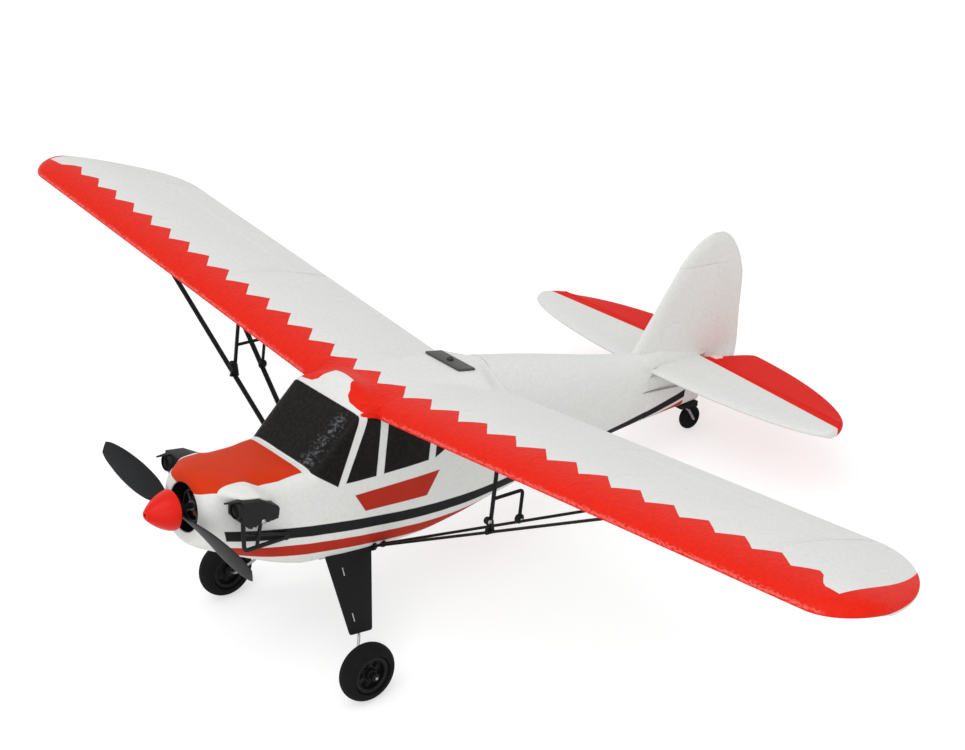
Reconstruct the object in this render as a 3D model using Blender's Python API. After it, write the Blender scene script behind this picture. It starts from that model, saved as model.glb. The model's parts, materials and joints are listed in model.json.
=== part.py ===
"""Foam radio-controlled aeroplane of the one-metre class, as an assembly of separate pieces.

Every size is in metres. Pieces are drawn in level aircraft axes: the origin is the wing's leading edge on
the centre line, +X is the left wing, +Y runs aft and +Z is up. The airframe empty then pitches the nose up
and lifts everything, so that the model stands on its two main wheels and its tail wheel.
"""
import math
from collections import namedtuple

import bmesh
import bpy
from mathutils import Matrix, Vector

# Fits
GAP = 0.0003             # between pieces that touch
RUN = 0.0005             # between a moving edge and its neighbour
AXLE_FIT = 0.00025       # wheel bore over its axle

# Wing
SPAN = 1.100
CHORD = 0.146
WING_THICKNESS = 0.019
LEADING_EDGE_RISE = 0.0036
TRAILING_EDGE = 0.0014
DIHEDRAL = math.radians(5.15)
CENTRE_HALF = 0.048      # flat part of the wing over the cabin
TIP_WIDEST_Y = 0.045
TIP_FRONT_DEPTH = 0.035
TIP_REAR_DEPTH = 0.088
DECK_HALF = 0.034        # raised fairing on the wing's rear centre
DECK_HEIGHT = 0.0178

# Ailerons
AILERON_HINGE_Y = 0.1085
AILERON_INNER = 0.180    # along the panel from the dihedral break
AILERON_OUTER = 0.408
AILERON_TRAVEL = math.radians(20)

# Fuselage
WALL = 0.006
SADDLE_Z = -0.0012
BELLY_Z = -0.124         # lowest part of the fuselage, under the wing's leading edge
FLOOR_Z = -0.112
CEILING_Z = -0.008
CABIN_HALF = 0.047
NOSE_Y = -0.150
NOSE_BORE = 0.020
WINDSCREEN_FOOT_Y = -0.0575
WINDSCREEN_HEAD_Y = -0.017
ROOF_Z = 0.009
OPENING_HALF = 0.033
BAY_HALF = 0.031         # flat floor under the battery and the control board
BAY_HEIGHT = 0.030
OPENING_FRONT_Y = 0.012
OPENING_REAR_Y = 0.128
TAIL_STEP_Y = 0.3495
TAIL_END_Y = 0.428
THRUST_Z = -0.066

# Tail
STAB_HALF = 0.1975
STAB_WIDEST_Y = 0.397
STAB_FRONT = 0.0465
STAB_REAR = 0.085
STAB_Z = -0.025
TAIL_RADIUS = 0.004      # half thickness at the hinges
TAIL_EDGE = 0.0007
ELEVATOR_HINGE_Y = 0.421
ELEVATOR_ROOT = 0.007
ELEVATOR_TIP = 0.188
ELEVATOR_NOTCH = 0.0115  # the inner ends slant outwards by this much for the rudder
ELEVATOR_TRAVEL = math.radians(20)
RUDDER_HINGE_Y = 0.4335
RUDDER_FOOT_Z = -0.062
RUDDER_TOP_Z = 0.0997
RUDDER_TRAVEL = math.radians(20)
FIN_SPLIT_Z = 0.0698     # the rudder's horn balance starts above this
FIN_FOOT_Y = 0.340       # where the fin's leading edge line crosses the chord plane
FIN_SWEEP = 0.625

# Struts
STRUT_RADIUS = 0.0016
STRUT_SPAN = 0.311
STRUT_REAR_SPAN = 0.296
STRUT_FRONT_Y = 0.019
STRUT_REAR_Y = 0.066
STRUT_ROOT_SPREAD = 0.009
JURY_SPAN = 0.182
JURY_WIDTH = 0.003
JURY_BAR_Z = -0.0155

# Undercarriage
WIRE_RADIUS = 0.00125
WHEEL_RADIUS = 0.026
WHEEL_WIDTH = 0.021
HUB_RADIUS = 0.0170
HUB_WIDTH = 0.0165
TRACK_HALF = 0.106
AXLE_Y = -0.0305
AXLE_Z = -0.195
GEAR_Y = -0.012
LEG_TOP_HALF = 0.044
LEG_MID = (0.077, -0.019, -0.176)
COLLAR_RADIUS = 0.0035
COLLAR_LENGTH = 0.004
BELLY_PLATE_HALF = 0.032
BELLY_PLATE_FRONT = -0.034
BELLY_PLATE_REAR = 0.030
BELLY_PLATE_THICKNESS = 0.006
FAIRING_TOP_WIDTH = 0.048
FAIRING_FOOT_WIDTH = 0.0225
FAIRING_THICKNESS = 0.002
FAIRING_RISE = 0.009

# Tail wheel
TAIL_WHEEL_RADIUS = 0.012
TAIL_WHEEL_WIDTH = 0.007
TAIL_WHEEL_Y = 0.426
TAIL_WHEEL_Z = -0.088
TAIL_PIVOT_Y = 0.4165
TAIL_BRACKET_HALF = 0.007
TAIL_BRACKET_LENGTH = 0.022
TAIL_BRACKET_THICKNESS = 0.0035

# Power
SPINNER_RADIUS = 0.0170
SPINNER_TIP_Y = -0.1858
SPINNER_BASE_Y = -0.1618
PROP_RADIUS = 0.1125
PROP_HUB_RADIUS = 0.0085
PROP_HUB_LENGTH = 0.0072
PROP_CHORD = 0.0235
PROP_REST = math.radians(4.8)
SHAFT_RADIUS = 0.0025
BELL_RADIUS = 0.0145
BELL_LENGTH = 0.026
BELL_WALL = 0.0025
BELL_FRONT_Y = -0.142
STATOR_RADIUS = 0.0105
MOUNT_THICKNESS = 0.003

# Dummy engine
ENGINE_OUTER = 0.058
ENGINE_FRONT_Y = -0.135
ENGINE_LENGTH = 0.038
ENGINE_TOP_Z = -0.0415
ENGINE_HEIGHT = 0.0245
PIPE_RADIUS = 0.0022
PIPE_DROP = 0.0212
PIPE_REACH = 0.017       # behind the engine
POST_SHARE = 0.6         # where the pipe's middle post stands along the engine

# Inside
BATTERY = (0.034, 0.070, 0.022)
BATTERY_FRONT_Y = -0.064
BOARD = (0.030, 0.045, 0.009)
BOARD_FRONT_Y = 0.012
TRAY_FRONT_Y = 0.060
TRAY_REAR_Y = 0.110
TRAY_Z = -0.074
TRAY_THICKNESS = 0.003
SERVO = (0.012, 0.0235, 0.0235)
SERVO_FRONT_Y = 0.076
ARM_LENGTH = 0.011
ARM_WIDTH = 0.005
ARM_THICKNESS = 0.002
ARM_BOSS = 0.0025
ROD_RADIUS = 0.0009
ROD_SIDE = 0.015         # both tail pushrods run this far from the centre line
ROD_TUNNEL = 0.0022
HORN_THICKNESS = 0.0016
PLATE = (0.047, 0.0155, 0.002)
PLATE_FRONT_Y = 0.106
SCREW_RADIUS = 0.0014
SCREW_HEAD = 0.003
SCREW_HEAD_HEIGHT = 0.0018
SCREW_LENGTH = 0.014
WING_SERVO = (0.011, 0.0225, 0.012)
WING_SERVO_FRONT_Y = 0.046
WING_SERVO_SPAN = 0.186  # along the panel from the dihedral break
WING_ARM_LENGTH = 0.009
WING_ARM_DROP = 0.0034   # the arm's pivot lies this far below the wing

ROUND = 24
STEP = 0.0002            # a jump in a loft is spread over this length
Y_AXIS = Vector((0, 1, 0))
X_AXIS = Vector((1, 0, 0))
Z_AXIS = Vector((0, 0, 1))


# Building blocks

def clear_scene():
    for old in list(bpy.data.objects):
        bpy.data.objects.remove(old, do_unlink=True)


def make_material(name, colour, roughness, metallic=0.0):
    """A Principled material with the piece's own colour and finish."""
    finish = bpy.data.materials.new(name)
    finish.use_nodes = True
    shader = finish.node_tree.nodes["Principled BSDF"]
    shader.inputs["Base Color"].default_value = (*colour, 1.0)
    shader.inputs["Roughness"].default_value = roughness
    shader.inputs["Metallic"].default_value = metallic
    return finish


def add(name, shape, colour, roughness=0.6, metallic=0.0, pivot=(0, 0, 0)):
    """One named piece drawn in aircraft axes, with its origin at the pivot."""
    bmesh.ops.recalc_face_normals(shape, faces=shape.faces)
    bmesh.ops.translate(shape, verts=shape.verts, vec=-Vector(pivot))
    mesh = bpy.data.meshes.new(name)
    shape.to_mesh(mesh)
    shape.free()
    mesh.shade_smooth()
    mesh.set_sharp_from_angle(angle=math.radians(35))
    piece = bpy.data.objects.new(name, mesh)
    piece.location = pivot
    piece.parent = bpy.data.objects["airframe"]
    mesh.materials.append(make_material(name, colour, roughness, metallic))
    bpy.context.scene.collection.objects.link(piece)
    return piece


def combine(piece, helper, operation):
    """Cut a helper shape out of a piece, or join it on."""
    helper.hide_render = True
    helper.display_type = "WIRE"
    change = piece.modifiers.new(helper.name, "BOOLEAN")
    change.operation = operation
    change.solver = "EXACT"
    change.object = helper


def loft(rings):
    """A closed solid through rings that have the same number of points."""
    shape = bmesh.new()
    loops = [[shape.verts.new(point) for point in ring] for ring in rings]
    count = len(loops[0])
    for first, second in zip(loops, loops[1:]):
        for i in range(count):
            j = (i + 1) % count
            shape.faces.new((first[i], first[j], second[j], second[i]))
    shape.faces.new(reversed(loops[0]))
    shape.faces.new(loops[-1])
    return shape


def box(low, high):
    (x0, y0, z0), (x1, y1, z1) = low, high
    floor = [(x0, y0), (x1, y0), (x1, y1), (x0, y1)]
    return loft([[(x, y, z) for x, y in floor] for z in (z0, z1)])


def turned(profile, origin, axis, closed=False, sides=ROUND):
    """A solid turned about an axis from (radius, distance along the axis) points."""
    shape = bmesh.new()
    points = [shape.verts.new((radius, 0, along)) for radius, along in profile]
    edges = [shape.edges.new(pair) for pair in zip(points, points[1:])]
    if closed:
        edges.append(shape.edges.new((points[-1], points[0])))
    bmesh.ops.spin(shape, geom=points + edges, cent=(0, 0, 0), axis=Z_AXIS, angle=math.tau,
                   steps=sides, use_merge=True)
    bmesh.ops.remove_doubles(shape, verts=shape.verts, dist=1e-6)
    turn = Z_AXIS.rotation_difference(Vector(axis)).to_matrix()
    bmesh.ops.transform(shape, matrix=Matrix.Translation(origin) @ turn.to_4x4(), verts=shape.verts)
    return shape


def tube(points, radius, sides=8):
    """A round wire along a bent line."""
    points = [Vector(point) for point in points]
    runs = [(b - a).normalized() for a, b in zip(points, points[1:])]
    side = runs[0].orthogonal().normalized()
    rings = []
    for i, point in enumerate(points):
        before = runs[max(i - 1, 0)]
        after = runs[min(i, len(runs) - 1)]
        normal = (before + after).normalized()
        ring = []
        for k in range(sides):
            spoke = Matrix.Rotation(math.tau * k / sides, 3, before) @ side * radius
            spoke -= before * (spoke.dot(normal) / before.dot(normal))
            ring.append(point + spoke)
        rings.append(ring)
        side = (side - after * side.dot(after)).normalized()
    return loft(rings)


def slab(outline, thickness, middle, across):
    """A flat plate: an outline of 3-D points pushed half its thickness to each side of its middle."""
    across = Vector(across).normalized()
    rings = []
    for shift in (-thickness / 2, thickness / 2):
        rings.append([Vector(point) + across * (middle + shift) for point in outline])
    return loft(rings)


def arc(centre, radius, start, stop, steps):
    """Points of an arc in a plane, angles in degrees."""
    points = []
    for i in range(steps + 1):
        angle = math.radians(start + (stop - start) * i / steps)
        points.append((centre[0] + radius * math.cos(angle), centre[1] + radius * math.sin(angle)))
    return points


# Wing surface

def foil_half(share):
    """Half thickness of a classic aerofoil, as a share of its full thickness."""
    return 5 * (0.2969 * math.sqrt(share) - 0.126 * share - 0.3516 * share ** 2
                + 0.2843 * share ** 3 - 0.1036 * share ** 4)


def wing_top(share, thickness):
    return 1.7 * foil_half(share) * thickness + LEADING_EDGE_RISE * (1 - share) + TRAILING_EDGE * share


def wing_bottom(share, thickness):
    return -0.3 * foil_half(share) * thickness + LEADING_EDGE_RISE * (1 - share)


def panel_length():
    return (SPAN / 2 - CENTRE_HALF) / math.cos(DIHEDRAL)


def panel_point(side, along, y, z):
    """A point of a wing panel: along is measured up the dihedral from the break."""
    x = CENTRE_HALF + along * math.cos(DIHEDRAL) - z * math.sin(DIHEDRAL)
    return Vector((side * x, y, along * math.sin(DIHEDRAL) + z * math.cos(DIHEDRAL)))


def tip_edges(along):
    """Leading and trailing edge of a panel, with the rounded tip."""
    front, rear = 0.0, CHORD
    into_front = (along - panel_length() + TIP_FRONT_DEPTH) / TIP_FRONT_DEPTH
    into_rear = (along - panel_length() + TIP_REAR_DEPTH) / TIP_REAR_DEPTH
    if into_front > 0:
        front = TIP_WIDEST_Y * (1 - math.sqrt(1 - into_front ** 2))
    if into_rear > 0:
        rear = TIP_WIDEST_Y + (CHORD - TIP_WIDEST_Y) * math.sqrt(1 - into_rear ** 2)
    return front, rear


UPPER_SHARES = (1.0, 0.8, 0.6, 0.4, 0.22, 0.09, 0.02)
LOWER_SHARES = (0.0, 0.05, 0.3, 0.65, 1.0)


def wing_ring(front, rear, stop, deck):
    """One wing section as (y, z), from the rear edge over the top to the nose and back below."""
    chord = rear - front
    thickness = WING_THICKNESS * (chord / CHORD) ** 0.8
    end = (stop - front) / chord
    ring = []
    for share in UPPER_SHARES:
        reach = share * end
        ring.append((front + reach * chord, max(wing_top(reach, thickness), deck * (share >= 0.4))))
    for share in LOWER_SHARES:
        reach = share * end
        ring.append((front + reach * chord, wing_bottom(reach, thickness)))
    return ring


def aileron_axis_z():
    share = AILERON_HINGE_Y / CHORD
    return (wing_top(share, WING_THICKNESS) + wing_bottom(share, WING_THICKNESS)) / 2


def aileron_radius():
    share = AILERON_HINGE_Y / CHORD
    return (wing_top(share, WING_THICKNESS) - wing_bottom(share, WING_THICKNESS)) / 2


def wing_under(along, y):
    """The wing's lower surface at a place on a panel."""
    return wing_bottom(y / CHORD, WING_THICKNESS)


def make_wing():
    rings = []
    notch = AILERON_HINGE_Y - aileron_radius() - RUN
    length = panel_length()
    half = []
    for part in (0.0, 0.45, 0.75, 0.92, 1.0):
        deck = DECK_HEIGHT * (1 - part ** 4) ** 0.25
        half.append((part * DECK_HALF, False, CHORD, deck))
    half.append((CENTRE_HALF, False, CHORD, 0.0))
    along = [(0.02, CHORD), (AILERON_INNER - RUN - STEP, CHORD), (AILERON_INNER - RUN, notch),
             (AILERON_OUTER + RUN, notch), (AILERON_OUTER + RUN + STEP, CHORD)]
    for share in (0.02, 0.35, 0.6, 0.8, 0.93, 0.998):
        along.append((length - TIP_REAR_DEPTH * (1 - share), None))
    half += [(place, True, stop, 0.0) for place, stop in along]
    for side in (-1, 1):
        rows = reversed(half) if side < 0 else half[1:]
        for place, panel, stop, deck in rows:
            front, rear = tip_edges(place) if panel else (0.0, CHORD)
            ring = wing_ring(front, rear, rear if stop is None else stop, deck)
            if panel:
                rings.append([panel_point(side, place, y, z) for y, z in ring])
            else:
                rings.append([Vector((side * place, y, z)) for y, z in ring])
    wing = add("wing", loft(rings), (0.86, 0.86, 0.85), 0.75)
    hole = turned([(0, -SCREW_LENGTH), (SCREW_RADIUS + GAP, -SCREW_LENGTH),
                   (SCREW_RADIUS + GAP, 2 * GAP), (0, 2 * GAP)], (0, plate_middle_y(), DECK_HEIGHT),
                  Z_AXIS, sides=12)
    combine(wing, add("screw_hole", hole, (0, 0, 0)), "DIFFERENCE")
    for side in (-1, 1):
        low, high = wing_servo_box()
        pocket = servo_block(side, [v - GAP for v in low], [v + GAP for v in high])
        combine(wing, add(f"servo_pocket{side}", pocket, (0, 0, 0)), "DIFFERENCE")
    return wing


def make_aileron(name, side):
    axis_z = aileron_axis_z()
    radius = aileron_radius()
    hinge = AILERON_HINGE_Y
    nose = [(y, z) for y, z in arc((hinge, axis_z), radius, 90, 270, 6)]
    rear_low = wing_bottom(1.0, WING_THICKNESS)
    rear_high = wing_top(1.0, WING_THICKNESS)
    ring = [(CHORD, rear_high)] + nose + [(CHORD, rear_low)]
    rings = []
    for along in (AILERON_INNER, AILERON_OUTER):
        rings.append([panel_point(side, along, y, z) for y, z in ring])
    pivot = panel_point(side, AILERON_INNER, hinge, axis_z)
    return add(name, loft(rings), (0.86, 0.86, 0.85), 0.75, pivot=pivot)


# Aileron drive, hung under each panel

def wing_servo_box():
    """Corners of a wing servo in panel places: along, y and z."""
    under = wing_under(WING_SERVO_SPAN, WING_SERVO_FRONT_Y + WING_SERVO[1] / 2)
    low = (WING_SERVO_SPAN, WING_SERVO_FRONT_Y, under - WING_SERVO[2] / 2)
    return low, tuple(a + b for a, b in zip(low, WING_SERVO))


def servo_block(side, low, high):
    floor = [(low[1], low[2]), (high[1], low[2]), (high[1], high[2]), (low[1], high[2])]
    return loft([[panel_point(side, along, y, z) for y, z in floor] for along in (low[0], high[0])])


def wing_drive():
    """Places shared by the aileron's arm, rod and horn: pivot y and z, tip z and the three spans."""
    low, high = wing_servo_box()
    pivot_y = high[1] - WING_SERVO[0] / 2
    pivot_z = wing_under(high[0], pivot_y) - WING_ARM_DROP
    arm_along = high[0] + GAP + ARM_THICKNESS / 2
    rod_along = arm_along + ARM_THICKNESS / 2 + GAP + ROD_RADIUS
    return pivot_y, pivot_z, pivot_z - WING_ARM_LENGTH, arm_along, rod_along


def panel_plate(side, outline, along, thickness):
    """A plate across the panel's span axis, from (y, z) points."""
    rings = []
    for shift in (-thickness / 2, thickness / 2):
        rings.append([panel_point(side, along + shift, y, z) for y, z in outline])
    return loft(rings)


def arm_outline(pivot, tip, wide, narrow):
    """A lever's outline: a round boss and a smaller round end, in a plane."""
    heading = math.degrees(math.atan2(tip[1] - pivot[1], tip[0] - pivot[0]))
    return arc(pivot, wide, heading + 90, heading + 270, 6) + arc(tip, narrow, heading - 90, heading + 90, 4)


def make_wing_drive(label, side):
    pivot_y, pivot_z, tip_z, arm_along, rod_along = wing_drive()
    low, high = wing_servo_box()
    add(f"aileron_servo_{label}", servo_block(side, low, high), (0.1, 0.16, 0.35), 0.4)
    outline = arm_outline((pivot_y, pivot_z), (pivot_y, tip_z), ARM_BOSS, ARM_BOSS * 0.7)
    add(f"aileron_arm_{label}", panel_plate(side, outline, arm_along, ARM_THICKNESS), (0.9, 0.9, 0.88),
        0.4, pivot=panel_point(side, arm_along, pivot_y, pivot_z))
    start = panel_point(side, rod_along, pivot_y - ARM_BOSS, tip_z)
    end = panel_point(side, rod_along, AILERON_HINGE_Y + ARM_BOSS, tip_z)
    add(f"aileron_rod_{label}", tube([start, end], ROD_RADIUS), (0.75, 0.75, 0.77), 0.3, 1.0, pivot=start)
    under = aileron_axis_z() - aileron_radius() - GAP
    foot = ARM_WIDTH * 2
    outline = [(AILERON_HINGE_Y, under), (AILERON_HINGE_Y - ARM_BOSS, tip_z - ARM_BOSS),
               (AILERON_HINGE_Y + ARM_BOSS, tip_z - ARM_BOSS), (AILERON_HINGE_Y + foot, under)]
    add(f"aileron_horn_{label}", panel_plate(side, outline, arm_along, ARM_THICKNESS), (0.9, 0.9, 0.88), 0.4,
        pivot=panel_point(side, arm_along, AILERON_HINGE_Y, aileron_axis_z()))


# Hold-down plate

def plate_middle_y():
    return PLATE_FRONT_Y + PLATE[1] / 2


def make_hold_plate():
    bottom = DECK_HEIGHT + GAP
    plate = add("wing_plate", box((-PLATE[0] / 2, PLATE_FRONT_Y, bottom),
                                  (PLATE[0] / 2, PLATE_FRONT_Y + PLATE[1], bottom + PLATE[2])),
                (0.03, 0.03, 0.035), 0.5)
    bore = SCREW_RADIUS + GAP
    hole = turned([(0, -PLATE[2]), (bore, -PLATE[2]), (bore, 2 * PLATE[2]), (0, 2 * PLATE[2])],
                  (0, plate_middle_y(), bottom), Z_AXIS, sides=12)
    combine(plate, add("plate_hole", hole, (0, 0, 0)), "DIFFERENCE")
    seat = PLATE[2] + GAP
    shank = GAP * 2 - SCREW_LENGTH
    head = [(0, shank), (SCREW_RADIUS, shank), (SCREW_RADIUS, seat), (SCREW_HEAD, seat),
            (SCREW_HEAD, seat + SCREW_HEAD_HEIGHT), (0, seat + SCREW_HEAD_HEIGHT)]
    add("wing_screw", turned(head, (0, plate_middle_y(), bottom), Z_AXIS, sides=12), (0.7, 0.7, 0.72), 0.3, 1.0)


# Fuselage

Station = namedtuple("Station", "y half top mid bottom top_power bottom_power")

STATIONS = (
    Station(NOSE_Y, 0.0285, -0.0375, THRUST_Z, -0.0955, 2.3, 2.3),
    Station(NOSE_Y + 0.0055, 0.0345, -0.0357, THRUST_Z, -0.0987, 2.6, 2.6),
    Station(-0.130, 0.039, -0.0345, THRUST_Z, -0.103, 3.0, 2.8),
    Station(-0.105, 0.0425, -0.0345, -0.068, -0.109, 3.5, 3.2),
    Station(-0.080, 0.0445, -0.035, -0.072, -0.115, 4.5, 3.8),
    Station(WINDSCREEN_FOOT_Y, CABIN_HALF - 0.001, -0.036, -0.074, -0.1195, 6.0, 4.5),
    Station(WINDSCREEN_HEAD_Y, CABIN_HALF, ROOF_Z - 0.0015, -0.060, BELLY_Z, 9.0, 4.5),
    Station(-RUN - STEP, CABIN_HALF, ROOF_Z, -0.060, BELLY_Z, 9.0, 4.5),
    Station(-RUN, CABIN_HALF, SADDLE_Z, -0.060, BELLY_Z, 9.0, 4.5),
    Station(0.060, CABIN_HALF - 0.0005, SADDLE_Z, -0.060, -0.122, 9.0, 4.5),
    Station(0.110, CABIN_HALF - 0.0045, SADDLE_Z, -0.058, -0.1155, 9.0, 4.5),
    Station(CHORD + RUN, CABIN_HALF - 0.009, SADDLE_Z, -0.052, -0.1095, 9.0, 4.2),
    Station(CHORD + RUN + STEP, CABIN_HALF - 0.009, DECK_HEIGHT, -0.052, -0.1095, 2.2, 4.2),
    Station(0.205, 0.030, 0.0103, -0.047, -0.101, 2.2, 4.0),
    Station(0.300, 0.0195, -0.005, -0.045, -0.084, 2.4, 3.6),
    Station(TAIL_STEP_Y, 0.015, -0.0095, -0.045, -0.077, 2.6, 3.4),
    Station(TAIL_STEP_Y + STEP, 0.015, STAB_Z - TAIL_RADIUS - GAP, -0.050, -0.077, 6.0, 3.4),
    Station(0.405, 0.0095, STAB_Z - TAIL_RADIUS - GAP, -0.050, -0.071, 6.0, 3.2),
    Station(TAIL_END_Y, 0.0065, STAB_Z - TAIL_RADIUS - GAP, -0.050, -0.069, 6.0, 3.0),
)


def body_at(y):
    """The fuselage section at a place along its length."""
    for before, after in zip(STATIONS, STATIONS[1:]):
        if before.y <= y <= after.y:
            share = (y - before.y) / (after.y - before.y)
            return Station(*(a + (b - a) * share for a, b in zip(before, after)))
    return STATIONS[-1] if y > STATIONS[-1].y else STATIONS[0]


def half_section(station, steps=4):
    """Half of a section as (x, z), from the top centre round the left side to the bottom centre."""
    points = []
    for i in range(steps + 1):
        angle = math.pi / 2 * (1 - i / steps)
        points.append((station.half * max(math.cos(angle), 0) ** (2 / station.top_power),
                       station.mid + (station.top - station.mid) * math.sin(angle) ** (2 / station.top_power)))
    for i in range(1, steps + 1):
        angle = math.pi / 2 * i / steps
        points.append((station.half * max(math.cos(angle), 0) ** (2 / station.bottom_power),
                       station.mid - (station.mid - station.bottom)
                       * math.sin(angle) ** (2 / station.bottom_power)))
    return points


def half_width(station, z):
    """How far the side lies from the centre line at a height."""
    upper = z > station.mid
    reach = (z - station.mid) / ((station.top if upper else station.bottom) - station.mid)
    power = station.top_power if upper else station.bottom_power
    return station.half * (1 - min(reach, 1) ** power) ** (1 / power)


def facet_width(station, z):
    """The same on the straight facets of the lofted section."""
    points = half_section(station)
    for (x0, z0), (x1, z1) in zip(points, points[1:]):
        if z1 <= z <= z0:
            return x0 + (x1 - x0) * (z0 - z) / (z0 - z1)
    return 0.0


def full_ring(station):
    half = half_section(station)
    left = [(x, station.y, z) for x, z in half]
    right = [(-x, station.y, z) for x, z in reversed(half[1:-1])]
    return left + right


def cavity_at(y):
    """The hollow inside the foam at a place along the fuselage."""
    outer = body_at(y)
    return outer._replace(half=outer.half - WALL, top=min(outer.top - WALL, CEILING_Z),
                          bottom=max(outer.bottom + WALL, FLOOR_Z))


CAVITY_PLACES = (-0.126, -0.105, -0.080, WINDSCREEN_FOOT_Y, WINDSCREEN_HEAD_Y, TRAY_FRONT_Y, TRAY_REAR_Y, 0.150,
                 0.205, 0.300, 0.335)


def make_cavity():
    bore = Station(NOSE_Y - 0.006, NOSE_BORE, THRUST_Z + NOSE_BORE, THRUST_Z, THRUST_Z - NOSE_BORE, 2, 2)
    rings = [full_ring(bore), full_ring(bore._replace(y=NOSE_Y + 0.008))]
    rings += [full_ring(cavity_at(y)) for y in CAVITY_PLACES]
    return loft(rings)


def make_fuselage():
    cavity = add("fuselage_hollow", make_cavity(), (0, 0, 0))
    opening = add("cabin_opening", box((-OPENING_HALF, OPENING_FRONT_Y, CEILING_Z - WALL),
                                       (OPENING_HALF, OPENING_REAR_Y, SADDLE_Z + WALL)), (0, 0, 0))
    bay = add("cabin_bay", box((-BAY_HALF, BATTERY_FRONT_Y - WALL / 2, FLOOR_Z),
                               (BAY_HALF, BOARD_FRONT_Y + BOARD[1] + WALL / 2, FLOOR_Z + BAY_HEIGHT)), (0, 0, 0))
    tunnels = []
    for side in (-1, 1):
        path = [(side * ROD_SIDE, CAVITY_PLACES[-3], rod_z()), (side * ROD_SIDE, TAIL_END_Y, rod_z())]
        tunnels.append(add(f"rod_tunnel{side}", tube(path, ROD_TUNNEL), (0, 0, 0)))
    for name, side in (("fuselage_left_half", 1), ("fuselage_right_half", -1)):
        rings = []
        for station in STATIONS:
            half = half_section(station)
            rings.append([(side * max(x, GAP / 2), station.y, z) for x, z in half])
        body = add(name, loft(rings), (0.88, 0.88, 0.87), 0.7)
        combine(body, cavity, "DIFFERENCE")
        combine(body, opening, "DIFFERENCE")
        combine(body, bay, "DIFFERENCE")
        combine(body, tunnels[0 if side < 0 else 1], "DIFFERENCE")


# Tail surfaces

def fixed_ring(front, rear):
    """A fixed tail section as (y, half thickness side): rounded nose, blunt rear."""
    depth = min(TAIL_RADIUS, (rear - front) * 0.3)
    reach = rear - front
    top = [(rear, depth), (front + 0.3 * reach, depth), (front + 0.07 * reach, depth * 0.6)]
    return top + [(front, 0.0)] + [(y, -z) for y, z in reversed(top)]


def hinged_ring(hinge, rear):
    """A moving tail section: a round nose about the hinge line and a thin rear edge."""
    nose = arc((hinge, 0), TAIL_RADIUS, 90, 270, 4)
    return [(rear, TAIL_EDGE)] + nose + [(rear, -TAIL_EDGE)]


def stab_front(x):
    return STAB_WIDEST_Y - STAB_FRONT * math.sqrt(max(1 - (x / STAB_HALF) ** 2, 0))


def stab_rear(x):
    return STAB_WIDEST_Y + STAB_REAR * math.sqrt(max(1 - (x / STAB_HALF) ** 2, 0))


def make_stabilizer():
    rings = []
    hinge_face = ELEVATOR_HINGE_Y - TAIL_RADIUS - RUN
    shares = (0.0, 0.25, 0.5, 0.7, 0.85, 0.93, 0.975, 0.995)
    places = [-share * STAB_HALF for share in reversed(shares)] + [share * STAB_HALF for share in shares[1:]]
    for x in places:
        ring = fixed_ring(stab_front(x), min(hinge_face, stab_rear(x)))
        rings.append([(x, y, STAB_Z + z) for y, z in ring])
    add("stabilizer", loft(rings), (0.88, 0.88, 0.87), 0.7)


def make_elevator(name, side):
    rings = []
    notch_end = ELEVATOR_ROOT + ELEVATOR_NOTCH
    places = [ELEVATOR_ROOT, notch_end] + [notch_end + (ELEVATOR_TIP - notch_end) * share
                                           for share in (0.3, 0.55, 0.75, 0.9, 1.0)]
    for x in places:
        rear = max(stab_rear(x), ELEVATOR_HINGE_Y + TAIL_EDGE)
        if x == ELEVATOR_ROOT:
            rear = ELEVATOR_HINGE_Y + TAIL_RADIUS
        rings.append([(side * x, y, STAB_Z + z) for y, z in hinged_ring(ELEVATOR_HINGE_Y, rear)])
    elevator = add(name, loft(rings), (0.85, 0.06, 0.03), 0.6, pivot=(0, ELEVATOR_HINGE_Y, STAB_Z))
    hole = tube([(0, joiner_y(), STAB_Z), (side * joiner_reach(), joiner_y(), STAB_Z)], WIRE_RADIUS + GAP)
    combine(elevator, add(f"{name}_hole", hole, (0, 0, 0)), "DIFFERENCE")


def joiner_y():
    return ELEVATOR_HINGE_Y + TAIL_RADIUS


def joiner_reach():
    return ELEVATOR_ROOT + 2 * ELEVATOR_NOTCH


def make_joiner():
    reach = joiner_reach() - RUN
    wire = tube([(-reach, joiner_y(), STAB_Z), (reach, joiner_y(), STAB_Z)], WIRE_RADIUS)
    add("elevator_joiner", wire, (0.7, 0.7, 0.72), 0.3, 1.0, pivot=(0, ELEVATOR_HINGE_Y, STAB_Z))


def fin_front(z):
    return FIN_FOOT_Y + FIN_SWEEP * z


def make_fin():
    rear = RUDDER_HINGE_Y - TAIL_RADIUS - RUN
    ridge = body_at(fin_front(-WALL)).top + GAP
    stab_top = STAB_Z + TAIL_RADIUS + GAP
    step_front = TAIL_STEP_Y + RUN + STEP
    rows = [(stab_top, step_front), (ridge, step_front), (ridge + STEP, fin_front(ridge)),
            (FIN_SPLIT_Z / 2, fin_front(FIN_SPLIT_Z / 2)), (FIN_SPLIT_Z - RUN, fin_front(FIN_SPLIT_Z))]
    rings = [[(x, y, z) for y, x in fixed_ring(front, rear)] for z, front in rows]
    add("fin", loft(rings), (0.88, 0.88, 0.87), 0.7)


RUDDER_ROWS = (           # height, then how far the rear edge lies behind the hinge line
    (RUDDER_FOOT_Z, 0.022), (RUDDER_FOOT_Z + 0.012, 0.036), (STAB_Z, 0.043), (0.017, 0.0393), (0.055, 0.0362))
BALANCE_ROWS = (          # share of the horn balance's height, front overhang, rear edge behind the hinge
    (0.03, 1.0, 0.0302), (0.25, 0.88, 0.0262), (0.55, 0.70, 0.0190), (0.80, 0.48, 0.0110), (0.95, 0.25, 0.0035),
    (1.0, 0.14, -0.0005))


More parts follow.
